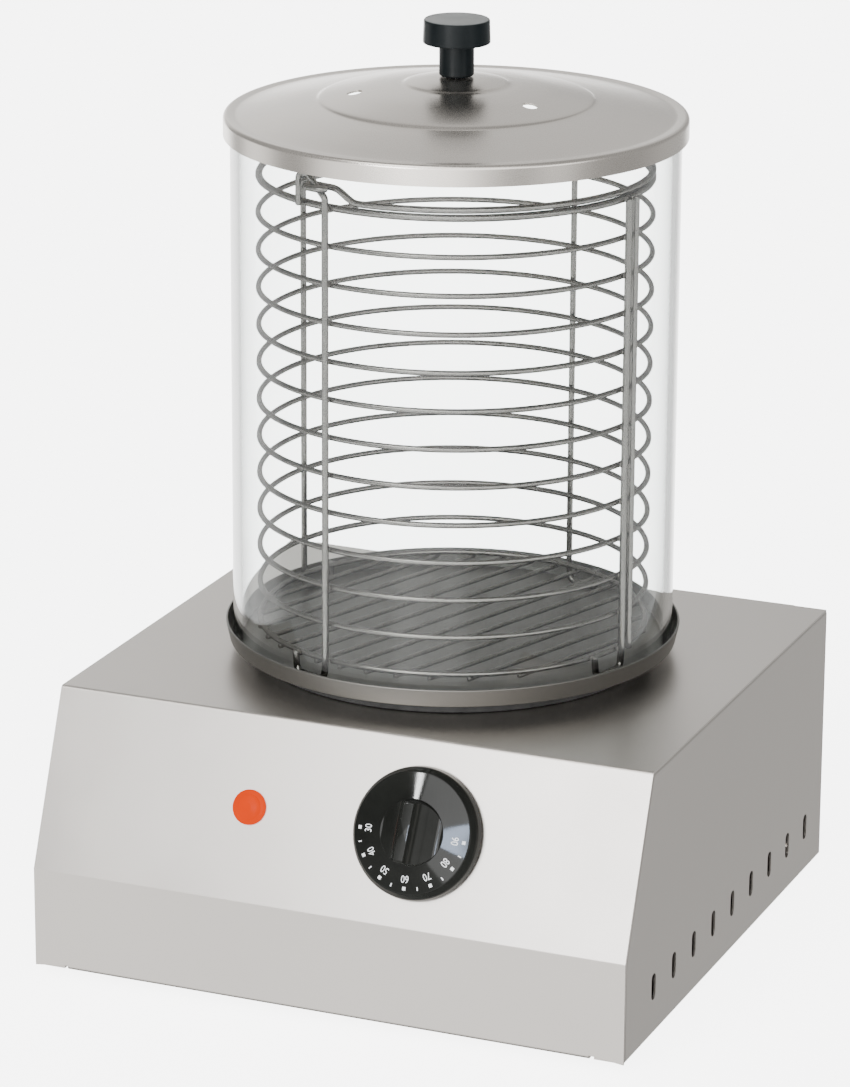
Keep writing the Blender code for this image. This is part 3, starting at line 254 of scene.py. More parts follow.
def rubber(name, colour):
    made, nodes, links, shader = new_material(name)
    fine = noise(nodes, links, 2500.0, (1, 1, 1), 2.0, 0.5)
    dust = noise(nodes, links, 60.0, (1, 1, 1), 5.0, 0.65)
    dusty = tuple(channel + 0.05 for channel in colour)
    links.new(blend_colours(nodes, links, spread(nodes, links, dust, 0, 1), colour, dusty),
              shader.inputs["Base Color"])
    links.new(spread(nodes, links, dust, 0.62, 0.85), shader.inputs["Roughness"])
    bump(nodes, links, shader, fine, 0.2, 0.0002)
    return made


def glass():
    """Clear borosilicate tube with a very faint green cast and slight draw waviness."""
    made, nodes, links, shader = new_material("clear_glass_tube")
    waves = noise(nodes, links, 9.0, (1, 1, 0.12), 2.0, 0.4)
    links.new(blend_colours(nodes, links, spread(nodes, links, waves, 0, 1), (0.95, 0.972, 0.965), (0.965, 0.985, 0.978)),
              shader.inputs["Base Color"])
    links.new(spread(nodes, links, waves, 0.0, 0.02), shader.inputs["Roughness"])
    shader.inputs["Transmission Weight"].default_value = 1.0
    shader.inputs["IOR"].default_value = 1.36
    bump(nodes, links, shader, waves, 0.02, 0.002)
    return made


def amber():
    """Translucent amber lens whose colour is a painted glow: the emission stands in for light shining through the
    tinted acrylic.
    """
    made, nodes, links, shader = new_material("amber_acrylic_painted_glow")
    cells = noise(nodes, links, 160.0, (1, 1, 1), 3.0, 0.5)
    links.new(blend_colours(nodes, links, spread(nodes, links, cells, 0, 1), (0.07, 0.002, 0.0), (0.11, 0.004, 0.0)),
              shader.inputs["Base Color"])
    links.new(spread(nodes, links, cells, 0.10, 0.2), shader.inputs["Roughness"])
    shader.inputs["Specular IOR Level"].default_value = 0.02
    # Painted glow: the emission stands in for light passing through the lens.
    shader.inputs["Emission Color"].default_value = (1.0, 0.065, 0.0, 1)
    shader.inputs["Emission Strength"].default_value = 1.02
    bump(nodes, links, shader, cells, 0.05, 0.0004)
    return made


def paint(name, colour):
    made, nodes, links, shader = new_material(name)
    specks = noise(nodes, links, 900.0, (1, 1, 1), 3.0, 0.6)
    faded = tuple(channel * 0.88 for channel in colour)
    links.new(blend_colours(nodes, links, spread(nodes, links, specks, 0, 1), faded, colour),
              shader.inputs["Base Color"])
    links.new(spread(nodes, links, specks, 0.4, 0.55), shader.inputs["Roughness"])
    return made


SHEET_STEEL = metal("satin_sheet_steel", (0.615, 0.582, 0.545), 0.36, (1, 1, 1), 2600.0, 0.03, 0.03, 0.03, 0.06, 0.00002)
PRESSED_STEEL = metal("satin_pressed_steel", (0.68, 0.64, 0.59), 0.27, (1, 1, 1), 2600.0, 0.03, 0.03, 0.03, 0.05, 0.00002)
PAN_STEEL = metal("spun_pan_steel", (0.185, 0.180, 0.168), 0.44, (1, 1, 6), 900.0, 0.04, 0.04, 0.05, 0.06, 0.00003)
WIRE_STEEL = metal("bright_wire_steel", (0.235, 0.226, 0.213), 0.17, (1, 1, 0.4), 1500.0, 0.03, 0.03, 0.05, 0.01, 0.00002)
WIRE_STEEL.node_tree.nodes["Principled BSDF"].inputs["Specular Tint"].default_value = (0.3, 0.3, 0.3, 1)
WELD_STEEL = metal("weld_steel", (0.22, 0.21, 0.195), 0.34, (1, 1, 1), 1500.0, 0.08, 0.05, 0.15, 0.2)
ZINC = metal("zinc_plate", (0.58, 0.59, 0.60), 0.36, (1, 1, 1), 500.0, 0.06, 0.05, 0.07)
CAST = metal("cast_aluminium", (0.62, 0.63, 0.64), 0.50, (1, 1, 1), 700.0, 0.06, 0.06, 0.08, 0.3)
SHEATH = metal("heat_tinted_sheath", (0.36, 0.32, 0.28), 0.42, (1, 1, 1), 500.0, 0.06, 0.08, 0.2)
COPPER = metal("copper_tube", (0.80, 0.42, 0.25), 0.32, (1, 1, 1), 500.0, 0.05, 0.06, 0.12)
BRASS = metal("plain_brass", (0.78, 0.60, 0.28), 0.30, (1, 1, 1), 500.0, 0.05, 0.05, 0.08)
# The knob's upward faces are lightened to grey: dust together with a painted sheen of light from above.
KNOB_BLACK = plastic("satin_black_phenolic", (0.003, 0.005, 0.006), 0.34, 1800.0, 0.06, 0.0, 0.13, 0.17)
DIAL_BLACK = plastic("gloss_black_phenolic", (0.007, 0.0075, 0.0065), 0.05, 900.0, 0.004, 0.0, 0.13)
GLAND_BLACK = plastic("black_nylon", (0.018, 0.018, 0.019), 0.42, 1800.0, 0.08)
CERAMIC = plastic("white_ceramic", (0.80, 0.79, 0.74), 0.38, 1200.0, 0.05)
FOOT_RUBBER = rubber("foot_rubber_black", (0.02, 0.02, 0.021))
SILICONE = rubber("silicone_black", (0.015, 0.016, 0.016))
GLASS = glass()
AMBER = amber()
DIAL_WHITE = paint("dial_white_print", (0.82, 0.84, 0.86))
WIRE_COLOURS = {"wire_live": (0.22, 0.09, 0.04), "wire_neutral": (0.03, 0.12, 0.42),
                "wire_element": (0.03, 0.03, 0.03), "wire_lamp": (0.45, 0.44, 0.40)}


# ---------------------------------------------------------------- building blocks

def piece(name, mesh_data, surface, body, stands_for=(), sharp=30.0):
    """Makes a shown piece from a bmesh in millimetres and fixes it to a CAD body."""
    bmesh.ops.recalc_face_normals(mesh_data, faces=mesh_data.faces)
    bmesh.ops.scale(mesh_data, vec=(MM, MM, MM), verts=mesh_data.verts)
    mesh = bpy.data.meshes.new(name)
    mesh_data.to_mesh(mesh)
    mesh_data.free()
    mesh.shade_smooth()
    mesh.set_sharp_from_angle(angle=radians(sharp))
    mesh.materials.append(surface)
    made = bpy.data.objects.new(name, mesh)
    bpy.context.scene.collection.objects.link(made)
    true_normals(made)
    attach(made, body)
    if stands_for:
        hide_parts(*stands_for)
    return made


def true_normals(target):
    """Keeps the shading of large faces flat beside small rounded edges."""
    change = target.modifiers.new("Normals", "WEIGHTED_NORMAL")
    change.mode = "FACE_AREA"
    change.weight = 80
    change.keep_sharp = True
    return target


def transformed(mesh_data, matrix):
    bmesh.ops.transform(mesh_data, matrix=matrix, verts=mesh_data.verts)
    return mesh_data


def joined(parts):
    """One bmesh that holds several."""
    whole = bmesh.new()
    for part in parts:
        mesh = bpy.data.meshes.new("part")
        part.to_mesh(mesh)
        part.free()
        whole.from_mesh(mesh)
        bpy.data.meshes.remove(mesh)
    return whole


def axis_matrix(origin, along, across=None):
    """Takes local +Z to along, and local +X to across as nearly as it can."""
    z = Vector(along).normalized()
    x = Vector(across) if across else z.orthogonal()
    x = (x - z * x.dot(z)).normalized()
    turn = Matrix((x, z.cross(x), z)).transposed().to_4x4()
    return Matrix.Translation(Vector(origin)) @ turn


def slope_matrix(x, height):
    """The sloped front's frame: +X to the right, +Y up the slope, +Z out of it."""
    origin = Vector((x, -HALF_DEPTH + SLOPE_SETBACK * (height - SLOPE_START) / SLOPE_RISE, height))
    return axis_matrix(origin, SLOPE_OUT, (1, 0, 0))


def lathe(profile, steps=FINE, closed=False):
    """Turns (radius, z) points round Z. An open profile starts and ends on the axis."""
    made = bmesh.new()
    rows = []
    for radius, z in profile:
        if radius < 1e-6:
            rows.append([made.verts.new((0, 0, z))])
        else:
            rows.append([made.verts.new((radius * cos(2 * pi * k / steps), radius * sin(2 * pi * k / steps), z))
                         for k in range(steps)])
    pairs = list(zip(rows, rows[1:])) + ([(rows[-1], rows[0])] if closed else [])
    for first, second in pairs:
        for k in range(steps):
            after = (k + 1) % steps
            if len(first) == 1 and len(second) == 1:
                continue
            if len(first) == 1:
                made.faces.new((first[0], second[after], second[k]))
            elif len(second) == 1:
                made.faces.new((first[k], first[after], second[0]))
            else:
                made.faces.new((first[k], first[after], second[after], second[k]))
    return made


def prism(outline, low, high):
    made = bmesh.new()
    face = made.faces.new([made.verts.new((x, y, low)) for x, y in outline])
    top = bmesh.ops.extrude_face_region(made, geom=[face])
    moved = [part for part in top["geom"] if isinstance(part, bmesh.types.BMVert)]
    bmesh.ops.translate(made, vec=(0, 0, high - low), verts=moved)
    return made


def along_x(outline, left, right):
    turn = Matrix(((0, 0, 1, 0), (1, 0, 0, 0), (0, 1, 0, 0), (0, 0, 0, 1)))
    return transformed(prism(outline, left, right), turn)


def arc(centre, radius, start, sweep, steps):
    """Points on an arc in a plane, angles in degrees."""
    angles = [radians(start + sweep * k / steps) for k in range(steps + 1)]
    return [(centre[0] + radius * cos(a), centre[1] + radius * sin(a)) for a in angles]


def rounded(outline, radius, steps=6, closed=False):
    """Replaces a path's corners with arcs. radius is one number, or one for each inner corner."""
    count = len(outline)
    if closed:
        corners_in = [(outline[k - 1], outline[k], outline[(k + 1) % count]) for k in range(count)]
    else:
        corners_in = list(zip(outline, outline[1:], outline[2:]))
    radii = radius if isinstance(radius, (list, tuple)) else [radius] * len(corners_in)
    path = [] if closed else [Vector(outline[0])]
    for (before, corner, after), size in zip(corners_in, radii):
        corner = Vector(corner)
        back = (Vector(before) - corner).normalized()
        on = (Vector(after) - corner).normalized()
        half = acos(max(-1.0, min(1.0, back.dot(on)))) / 2
        if size <= 0 or half > pi / 2 - 0.01:
            path.append(corner)
            continue
        centre = corner + (back + on).normalized() * (size / sin(half))
        first = corner + back * (size * cos(half) / sin(half)) - centre
        last = corner + on * (size * cos(half) / sin(half)) - centre
        swing = first.angle(last)
        for k in range(steps + 1):
            share = k / steps
            path.append(centre + (first * sin((1 - share) * swing) + last * sin(share * swing)) / sin(swing))
    if not closed:
        path.append(Vector(outline[-1]))
    return path


def tube(points, radius, sides=10, closed=False):
    """A round wire along points, its end caps flat."""
    points = [Vector(point) for point in points]
    count = len(points)
    radii = radius if isinstance(radius, list) else [radius] * count
    made = bmesh.new()
    rings = []
    normal = None
    for index, point in enumerate(points):
        before = points[index - 1] if closed or index else point
        after = points[(index + 1) % count] if closed or index < count - 1 else point
        tangent = ((point - before).normalized() + (after - point).normalized()).normalized()
        normal = tangent.orthogonal() if normal is None else normal
        normal = (normal - tangent * normal.dot(tangent)).normalized()
        side = tangent.cross(normal)
        rings.append([made.verts.new(point + (normal * cos(a) + side * sin(a)) * radii[index])
                      for a in (2 * pi * k / sides for k in range(sides))])
    pairs = list(zip(rings, rings[1:])) + ([(rings[-1], rings[0])] if closed else [])
    for first, second in pairs:
        for k in range(sides):
            after = (k + 1) % sides
            made.faces.new((first[k], first[after], second[after], second[k]))
    if not closed:
        made.faces.new(list(reversed(rings[0])))
        made.faces.new(rings[-1])
    return made


def smooth(points, steps=8):
    """A Catmull-Rom curve through 2-D or 3-D points."""
    points = [Vector(point) for point in points]
    padded = [points[0] * 2 - points[1]] + points + [points[-1] * 2 - points[-2]]
    curve = []
    for a, b, c, d in zip(padded, padded[1:], padded[2:], padded[3:]):
        for k in range(steps):
            t = k / steps
            curve.append(0.5 * (2 * b + (c - a) * t + (2 * a - 5 * b + 4 * c - d) * t * t
                                + (3 * b - a - 3 * c + d) * t ** 3))
    curve.append(points[-1])
    return curve


def on_circle(radius, angle, z):
    return CENTRE + Vector((radius * cos(radians(angle)), radius * sin(radians(angle)), z))


def stack(mesh_data, z=0.0):
    """Moves a turned piece onto the axis of the pan and glass."""
    return transformed(mesh_data, Matrix.Translation(CENTRE + Vector((0, 0, z))))


def cut(target, tool):
    """Takes a tool's volume out of a piece for good."""
    bmesh.ops.recalc_face_normals(tool, faces=tool.faces)
    bmesh.ops.scale(tool, vec=(MM, MM, MM), verts=tool.verts)
    mesh = bpy.data.meshes.new("tool")
    tool.to_mesh(mesh)
    tool.free()
    cutter = bpy.data.objects.new("tool", mesh)
    bpy.context.scene.collection.objects.link(cutter)
    change = target.modifiers.new("Cut", "BOOLEAN")
    change.operation = "DIFFERENCE"
    change.solver = "EXACT"
    change.object = cutter
    apply_modifiers(target)
    bpy.data.objects.remove(cutter)
    return target


def apply_modifiers(target):
    """Turns a piece and its modifiers into a plain mesh."""
    bpy.context.view_layer.update()
    evaluated = target.evaluated_get(bpy.context.evaluated_depsgraph_get())
    mesh = bpy.data.meshes.new_from_object(evaluated)
    target.modifiers.clear()
    target.data = mesh
    return target


def soften(target, width, segments=2, limit=30.0):
    """Breaks a piece's hard edges with a small bevel."""
    change = target.modifiers.new("Edges", "BEVEL")
    change.width = width * MM
    change.segments = segments
    change.limit_method = "ANGLE"
    change.angle_limit = radians(limit)
    change.harden_normals = False
    return target


# ---------------------------------------------------------------- casing

BEND = 1.8
BEND_STEPS = 8


def casing_outline(inset):
    """Front, slope and top of the casing from the side, moved in by inset, as (y, z) corners."""
    tilt = atan2(SLOPE_SETBACK, SLOPE_RISE)
    front = -HALF_DEPTH + inset
    top = CASE_TOP - inset
    low_corner = SLOPE_START - inset * (1 - cos(tilt)) / sin(tilt)
    high_corner = -HALF_DEPTH + SLOPE_SETBACK + inset * (1 - sin(tilt)) / cos(tilt)
    return [(front, CASE_BOTTOM), (front, low_corner), (high_corner, top), (HALF_DEPTH, top)]


def sheet_strip(path, columns, cuts=()):
    """A bent sheet: a (y, z) path between x limits, one pair of limits for each step of the path."""
    made = bmesh.new()
    stations = sorted({x for limits in columns for x in limits} | set(cuts))
    grid = {(x, k): made.verts.new((x, *path[k])) for x in stations for k in range(len(path))}
    for k, (left, right) in enumerate(columns):
        for a, b in zip(stations, stations[1:]):
            if a >= left and b <= right:
                made.faces.new((grid[a, k], grid[b, k], grid[b, k + 1], grid[a, k + 1]))
    bmesh.ops.delete(made, geom=[vert for vert in made.verts if not vert.link_faces], context="VERTS")
    return made


def face_outward(mesh_data):
    """Points an open sheet's faces away from the middle of the casing."""
    bmesh.ops.recalc_face_normals(mesh_data, faces=mesh_data.faces)
    middle = Vector((0, 0, (CASE_BOTTOM + CASE_TOP) / 2))
    score = sum(face.calc_area() * face.normal.dot(face.calc_center_median() - middle) for face in mesh_data.faces)
    if score < 0:
        bmesh.ops.reverse_faces(mesh_data, faces=mesh_data.faces)
    return mesh_data


def thick_sheet(name, surface_mesh, stands_for):
    """Gives a bent sheet its thickness and slightly broken edges."""
    face_outward(surface_mesh)
    made = bpy.data.objects.new(name, bpy.data.meshes.new(name))
    bmesh.ops.scale(surface_mesh, vec=(MM, MM, MM), verts=surface_mesh.verts)
    surface_mesh.to_mesh(made.data)
    surface_mesh.free()
    made.data.materials.append(SHEET_STEEL)
    bpy.context.scene.collection.objects.link(made)
    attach(made, "casing")
    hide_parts(*stands_for)
    solid = made.modifiers.new("Sheet", "SOLIDIFY")
    solid.thickness = SHEET * MM
    solid.offset = -1
    solid.use_even_offset = True
    soften(made, 0.18, 2, 50)
    apply_modifiers(made)
    return made


def finish_sheet(made):
    """Shades a cut and bevelled piece smooth, with its flat faces kept flat."""
    made.data.shade_smooth()
    made.data.set_sharp_from_angle(angle=radians(35))
    return true_normals(made)


def drill(centre, direction, radius, reach=8.0, steps=48):
    return transformed(lathe([(0, reach), (radius, reach), (radius, -reach), (0, -reach)], steps),
                       axis_matrix(centre, direction))


def casing_wrap():
    front, low, high, back = casing_outline(0)
    path = rounded([(-HALF_DEPTH + FLANGE, CASE_BOTTOM), front, low, high, back, (HALF_DEPTH, CASE_TOP - FLANGE)],
                   BEND, BEND_STEPS)
    narrow = HALF_WIDTH - FLANGE - 2
    folded = 1 + BEND_STEPS
    relief = narrow + 1.2
    whole = len(path) - 1 - 2 * folded
    columns = [(-narrow, narrow)] * folded + [(-HALF_WIDTH, HALF_WIDTH)] * whole + [(-narrow, narrow)] * folded
    strip = sheet_strip(path, columns, (-relief, relief))
    for vert in strip.verts:
        if abs(vert.co.x) >= relief and abs(vert.co.z - path[folded].y) < 0.01:
            vert.co.z = CASE_BOTTOM
    made = thick_sheet("casing_wrap_sheet", strip, ["casing_wrap"])
    screw_low, screw_high = corners("rear_screw_right")
    screw = (screw_low + screw_high) / 2
    tools = [drill(slope_matrix(DIAL_X, CONTROL_HEIGHT).translation, SLOPE_OUT, 5.5),
             drill(slope_matrix(LAMP_X, CONTROL_HEIGHT).translation, SLOPE_OUT, 6.5),
             drill(CENTRE + Vector((0, 0, CASE_TOP)), (0, 0, 1), 80.0, 8, 96)]
    tools += [drill((side * screw.x, HALF_DEPTH, screw.z), (0, 1, 0), 2.4) for side in (-1, 1)]
    return finish_sheet(cut(made, joined(tools)))


def obround(width, height, steps=10):
    radius = width / 2
    straight = height / 2 - radius
    return arc((0, straight), radius, 0, 180, steps) + arc((0, -straight), radius, 180, 180, steps)


def side_panel(side, node):
    """A flanged side sheet whose folded edge is rounded all the way round."""
    outline = casing_outline(SEAM)
    loop = outline[:3] + [(HALF_DEPTH, outline[3][1]), (HALF_DEPTH, CASE_BOTTOM)]
    face_x, flange_x = side * HALF_WIDTH, side * (HALF_WIDTH - FLANGE)
    made = bmesh.new()
    rows = []
    middle = Vector((sum(y for y, _ in loop) / 5, sum(z for _, z in loop) / 5))
    fold = 1.3
    for step in range(BEND_STEPS + 1):
        turn = pi / 2 * step / BEND_STEPS
        shrink = fold * (1 - sin(turn))
        x = face_x - side * fold * (1 - cos(turn))
        rows.append([made.verts.new((x, *point)) for point in inset_loop(loop, shrink)])
    rows.append([made.verts.new((flange_x, *point)) for point in loop])
    made.faces.new(rows[0])
    for first, second in zip(rows, rows[1:]):
        for k in range(len(loop)):
            after = (k + 1) % len(loop)
            made.faces.new((first[k], first[after], second[after], second[k]))
    panel = thick_sheet(node + "_sheet", made, [node])
    slots = []
    for k in range(VENT_COUNT):
        centre_y = VENT_FIRST_Y + VENT_PITCH * k
        shape = [(centre_y + y, VENT_BOTTOM + VENT_HEIGHT / 2 + z) for y, z in obround(VENT_WIDTH, VENT_HEIGHT)]
        slots.append(along_x(shape, face_x - 5, face_x + 5))
    return finish_sheet(cut(panel, joined(slots)))


def inset_loop(loop, distance):
    """Moves the corners of a closed convex (a, b) loop inwards by distance."""
    middle = Vector((sum(a for a, _ in loop) / len(loop), sum(b for _, b in loop) / len(loop)))
    lines = []
    for k, point in enumerate(loop):
        start, end = Vector(point), Vector(loop[(k + 1) % len(loop)])
        normal = Vector((-(end - start).y, (end - start).x)).normalized()
        if normal.dot(middle - start) < 0:
            normal = -normal
        lines.append((start + normal * distance, (end - start).normalized()))
    moved = []
    for k in range(len(loop)):
        (p, d), (q, e) = lines[k - 1], lines[k]
        share = ((q - p).x * e.y - (q - p).y * e.x) / (d.x * e.y - d.y * e.x)
        moved.append(tuple(p + d * share))
    return moved


def weld_marks():
    """Faint round dimples where the front sheet is spot-welded to the side panels' flanges."""
    marks = []
    spots = [(-HALF_WIDTH + 5, 118.4), (-HALF_WIDTH + 5, 76.3), (HALF_WIDTH - 7.5, 113.7), (HALF_WIDTH - 7.5, 72.0)]
    profile = [(0, 0.02), (2.0, 0.03), (2.1, -0.1), (0, -0.1)]
    for x, height in spots:
        marks.append(transformed(lathe(profile, 24), slope_matrix(x, height)))
    for x, height in ((-HALF_WIDTH + 6, 30.6), (HALF_WIDTH - 2.9, 25.8)):
        marks.append(transformed(lathe(profile, 24), axis_matrix((x, -HALF_DEPTH, height), (0, -1, 0))))
    return piece("casing_weld_marks", joined(marks), SHEET_STEEL, "casing", (), 30)


def screw(name, place, direction, head_radius, head_height, shank, length, node, body="casing"):
    """A pan-head screw with a cross recess."""
    dome = [(head_radius * sin(radians(a)), head_height * cos(radians(a)) ** 0.7) for a in (90, 75, 60, 45, 30, 15)]
    profile = [(0, -length), (shank, -length), (shank, 0), (head_radius, 0), *dome[0:1], *dome[1:], (0, head_height)]
    matrix = axis_matrix(place, direction)
    made = piece(name, transformed(lathe(profile, 32), matrix), ZINC, body, [node])
    arm, half = head_radius * 0.62, head_radius * 0.13
    top = head_height * 1.2
    deep = head_height * 0.35
    cross = [prism([(-arm, -half), (arm, -half), (arm, half), (-arm, half)], deep, top),
             prism([(-half, -arm), (half, -arm), (half, -half * 1.01), (-half, -half * 1.01)], deep, top),
             prism([(-half, half * 1.01), (half, half * 1.01), (half, arm), (-half, arm)], deep, top)]
    return cut(made, transformed(joined(cross), matrix))


def feet():
    for name in ("front_left", "front_right", "rear_left", "rear_right"):
        low, high = corners("foot_" + name)
        middle = (low + high) / 2
        top = high.z
        bottom_radius = (high.x - low.x) / 2
        profile = rounded([(2.3, top), (bottom_radius - 1, top), (bottom_radius, 0), (5, 0), (5, 2.4), (2.3, 2.4)],
                          [0.4, 0.8, 0.4, 0.3], 4)
        ring = lathe([tuple(point) for point in profile], 64, True)
        piece("rubber_foot_" + name, transformed(ring, Matrix.Translation((middle.x, middle.y, 0))),
              FOOT_RUBBER, "casing", ["foot_" + name])
        screw_low, _ = corners("foot_screw_" + name)
        screw("foot_bolt_" + name, (middle.x, middle.y, 2.1), (0, 0, -1), 4.2, 1.6, 1.9, 8.5,
              "foot_screw_" + name)


def rear_screws():
    for side, name in ((-1, "left"), (1, "right")):
        low, high = corners("rear_screw_" + name)
        middle = (low + high) / 2
        screw("rear_bolt_" + name, (middle.x, HALF_DEPTH + 0.3, middle.z), (0, 1, 0), 3.6, 2.2, 1.9, 9.0,
              "rear_screw_" + name)


# ---------------------------------------------------------------- pan, glass, lid

def water_pan():
    """A spun dish with a fine rounded rim, its stud welded underneath."""
    under = corners("pan_gasket")[1].z + 0.3
    top = PAN_HIGH.z
    radius = PAN_RADIUS
    foot = radius - 1.9
    outer = rounded([(3.0, under), (foot, under), (radius, top), (radius - SHEET, top)], [0.8, 0.45], 6)
    inner = rounded([(radius - SHEET, top), (foot - SHEET, under + SHEET), (0.0, under + SHEET)], [1.4], 6)
    profile = [(0, PAN_LOW.z), (2.5, PAN_LOW.z), (3.0, PAN_LOW.z + 0.5)]
    profile += [tuple(p) for p in outer[:-1]] + [tuple(p) for p in inner]
    return piece("water_pan_spun", stack(lathe(profile)), PAN_STEEL, "casing", ["water_pan"])


def gasket():
    low, high = corners("pan_gasket")
    outer = high.x
    outline = rounded([(outer - 6, low.z), (outer - 6, high.z), (outer, high.z), (outer, low.z)], 0.7, 4, True)
    return piece("pan_gasket_ring", stack(lathe([tuple(p) for p in outline], FINE, True)), SILICONE, "casing",
                 ["pan_gasket"])


def glass_tube():
    wall = 4.0
    outline = [(GLASS_RADIUS - wall, GLASS_LOW.z), (GLASS_RADIUS, GLASS_LOW.z), (GLASS_RADIUS, GLASS_HIGH.z),
               (GLASS_RADIUS - wall, GLASS_HIGH.z)]
    profile = [tuple(p) for p in rounded(outline, 1.3, 6, True)]
    return piece("glass_tube", stack(lathe(profile, 256, True)), GLASS, "glass", ["glass_cylinder"])


LID_SHEET = 0.9
LID_CREST = LID_LOW.z + 9.4
LID_DOME = [(97.9, -0.42), (96.4, -0.32), (92, 0.5), (84, 2.1), (72, 4.3), (64.5, 5.5), (61.8, 6.0), (60.3, 6.9), (57.5, 7.7),
            (50, 9.3), (40, 11.2), (30, 12.5), (24.6, 13.0), (23.0, 13.5), (21.2, 14.2), (15, 15.3), (9.5, 15.9)]


def lid():
    """The pressed lid: rim band, seat groove, two shallow steps and a low crown."""
    rim = rounded([(LID_RADIUS, -9.4), (LID_RADIUS, 0.0), (99.2, -0.25)], [1.9], 10)
    crown = smooth(LID_DOME, 4)
    outer = [Vector(p) for p in rim] + list(crown)
    inner = []
    for index, point in enumerate(outer):
        before = outer[max(index - 1, 0)]
        after = outer[min(index + 1, len(outer) - 1)]
        along = (after - before).normalized()
        inner.append((point.x - along.y * LID_SHEET, point.y + along.x * LID_SHEET))
    inner[0] = (LID_RADIUS - LID_SHEET, -9.4)
    bore = 2.3
    top = LID_HIGH.z - LID_CREST
    profile = [(p.x, p.y) for p in outer] + [(bore, top), (bore, top - LID_SHEET)] + list(reversed(inner))
    profile = [(r, z + LID_CREST) for r, z in profile]
    made = piece("lid_pressing", stack(lathe(profile, FINE, True)), PRESSED_STEEL, "lid", ["lid_shell"])
    tools = [drill(on_circle(45.4, angle, LID_CREST), (0, 0, 1), 3.4, 30, 40) for angle in (-148.0, -23.0)]
    cut(made, joined(tools))
    soften(made, 0.12, 1, 60)
    return finish_sheet(apply_modifiers(made))


def lid_knob():
    low, high = KNOB_LOW.z, KNOB_HIGH.z
    radius = KNOB_HIGH.x
    cap = high - 10.7
    outline = [(2.3, low), (7.75, low), (7.75, cap), (radius, cap), (radius - 0.4, high), (0, high)]
    profile = rounded(outline, [1.1, 1.0, 0.7, 0.9], 6)
    profile = [tuple(p) for p in profile] + [(0, low + 13), (2.3, low + 13)]
    piece("knob_turned", stack(lathe(profile, 96, True)), KNOB_BLACK, "lid", ["lid_knob"])
    screw_low, screw_high = corners("knob_screw")
    head = screw_low.z + 2.4
    screw("knob_bolt", CENTRE + Vector((0, 0, head)), (0, 0, -1), 6.0, 2.3, 2.0, screw_high.z - head, "knob_screw", "lid")


# ---------------------------------------------------------------- basket

RING_STEPS = 144
WIRE_SIDES = 12


def ring(radius, wire, z):
    points = [on_circle(radius, 360 * k / RING_STEPS, z) for k in range(RING_STEPS)]
    return tube(points, wire, WIRE_SIDES, True)


def arc_point(angle, tangential, z):
    return on_circle(ROD_RADIUS, angle + degrees(tangential / ROD_RADIUS), z)


def wrap_round(path, angle, side=1):
    """Lays a flat (tangential, z) path on the cylinder of the upright wires."""
    return [arc_point(angle, side * t, z) for t, z in path]


def domed(points, wire, sides=WIRE_SIDES):
    """A wire whose cut ends are slightly rounded off."""
    points = [Vector(point) for point in points]
    start = (points[0] - points[1]).normalized()
    end = (points[-1] - points[-2]).normalized()
    trim = wire * 0.35
    points = [points[0], points[0] - start * trim] + points[1:-1] + [points[-1] - end * trim, points[-1]]
    radii = [wire * 0.62] + [wire] * (len(points) - 2) + [wire * 0.62]
    return tube(points, radii, sides)


def basket_rings():
    for k in range(RING_COUNT - 1):
        radius, wire = (TOP_RING_RADIUS, TOP_WIRE) if k == 0 else (RING_RADIUS, WIRE)
        node = f"basket_ring_{k + 1:02d}"
        piece(node + "_wire", ring(radius, wire, TOP_RING - RING_PITCH * k), WIRE_STEEL, "basket", [node],
              80)


def basket_floor():
    """Lowest ring with its parallel floor wires welded under it."""
    along = Vector((cos(radians(GRID_DIRECTION)), sin(radians(GRID_DIRECTION)), 0))
    across = Vector((-along.y, along.x, 0))
    z = LOWEST_RING - WIRE - GRID_WIRE + 0.5
    wires = [ring(RING_RADIUS, WIRE, LOWEST_RING)]
    for k in range(GRID_WIRES):
        offset = (k - (GRID_WIRES - 1) / 2) * GRID_PITCH
        half = sqrt(RING_RADIUS ** 2 - offset ** 2) + 1.5
        middle = CENTRE + Vector((0, 0, z)) + across * offset
        wires.append(domed([middle - along * half, middle, middle + along * half], GRID_WIRE))
    return piece("basket_floor_wires", joined(wires), WIRE_STEEL, "basket", ["basket_floor"], 70)


def basket_rods():
    foot = [(-FOOT_SPAN, LOWEST_RING + 1.0), (-FOOT_SPAN + 0.8, FOOT_Z), (-0.8, FOOT_Z), (0, LOWEST_RING)]
    lug_top = TOP_RING + 13.6
    for name, angle in ROD_ANGLES.items():
        path = rounded(foot, [3.4, 3.4], 8)
        if name in LUG_SIDES:
            side = LUG_SIDES[name]
            lug = [(0, LOWEST_RING), (0, HINGE_Z - HINGE_FROM_ROD), (2 * HINGE_FROM_ROD + 0.7, lug_top),
                   (15.3, lug_top), (15.3, TOP_RING - 1.0)]
            over = rounded(lug, [2.6, 1.6, 2.9], 8)
            points = wrap_round(path, angle) + wrap_round(over[1:], angle, side)
        else:
            points = wrap_round(path, angle) + [arc_point(angle, 0, TOP_RING + 0.6)]
        piece("basket_upright_" + name, domed(points, UPRIGHT_WIRE), WIRE_STEEL, "basket", ["basket_rod_" + name],
              80)
    seam = [arc_point(SEAM_ROD_ANGLE, 0, z) for z in (LOWEST_RING - 1.0, LOWEST_RING + 40, TOP_RING + 0.6)]
    piece("basket_upright_seam", domed(seam, UPRIGHT_WIRE), WIRE_STEEL, "basket", ["basket_seam_rod"], 80)


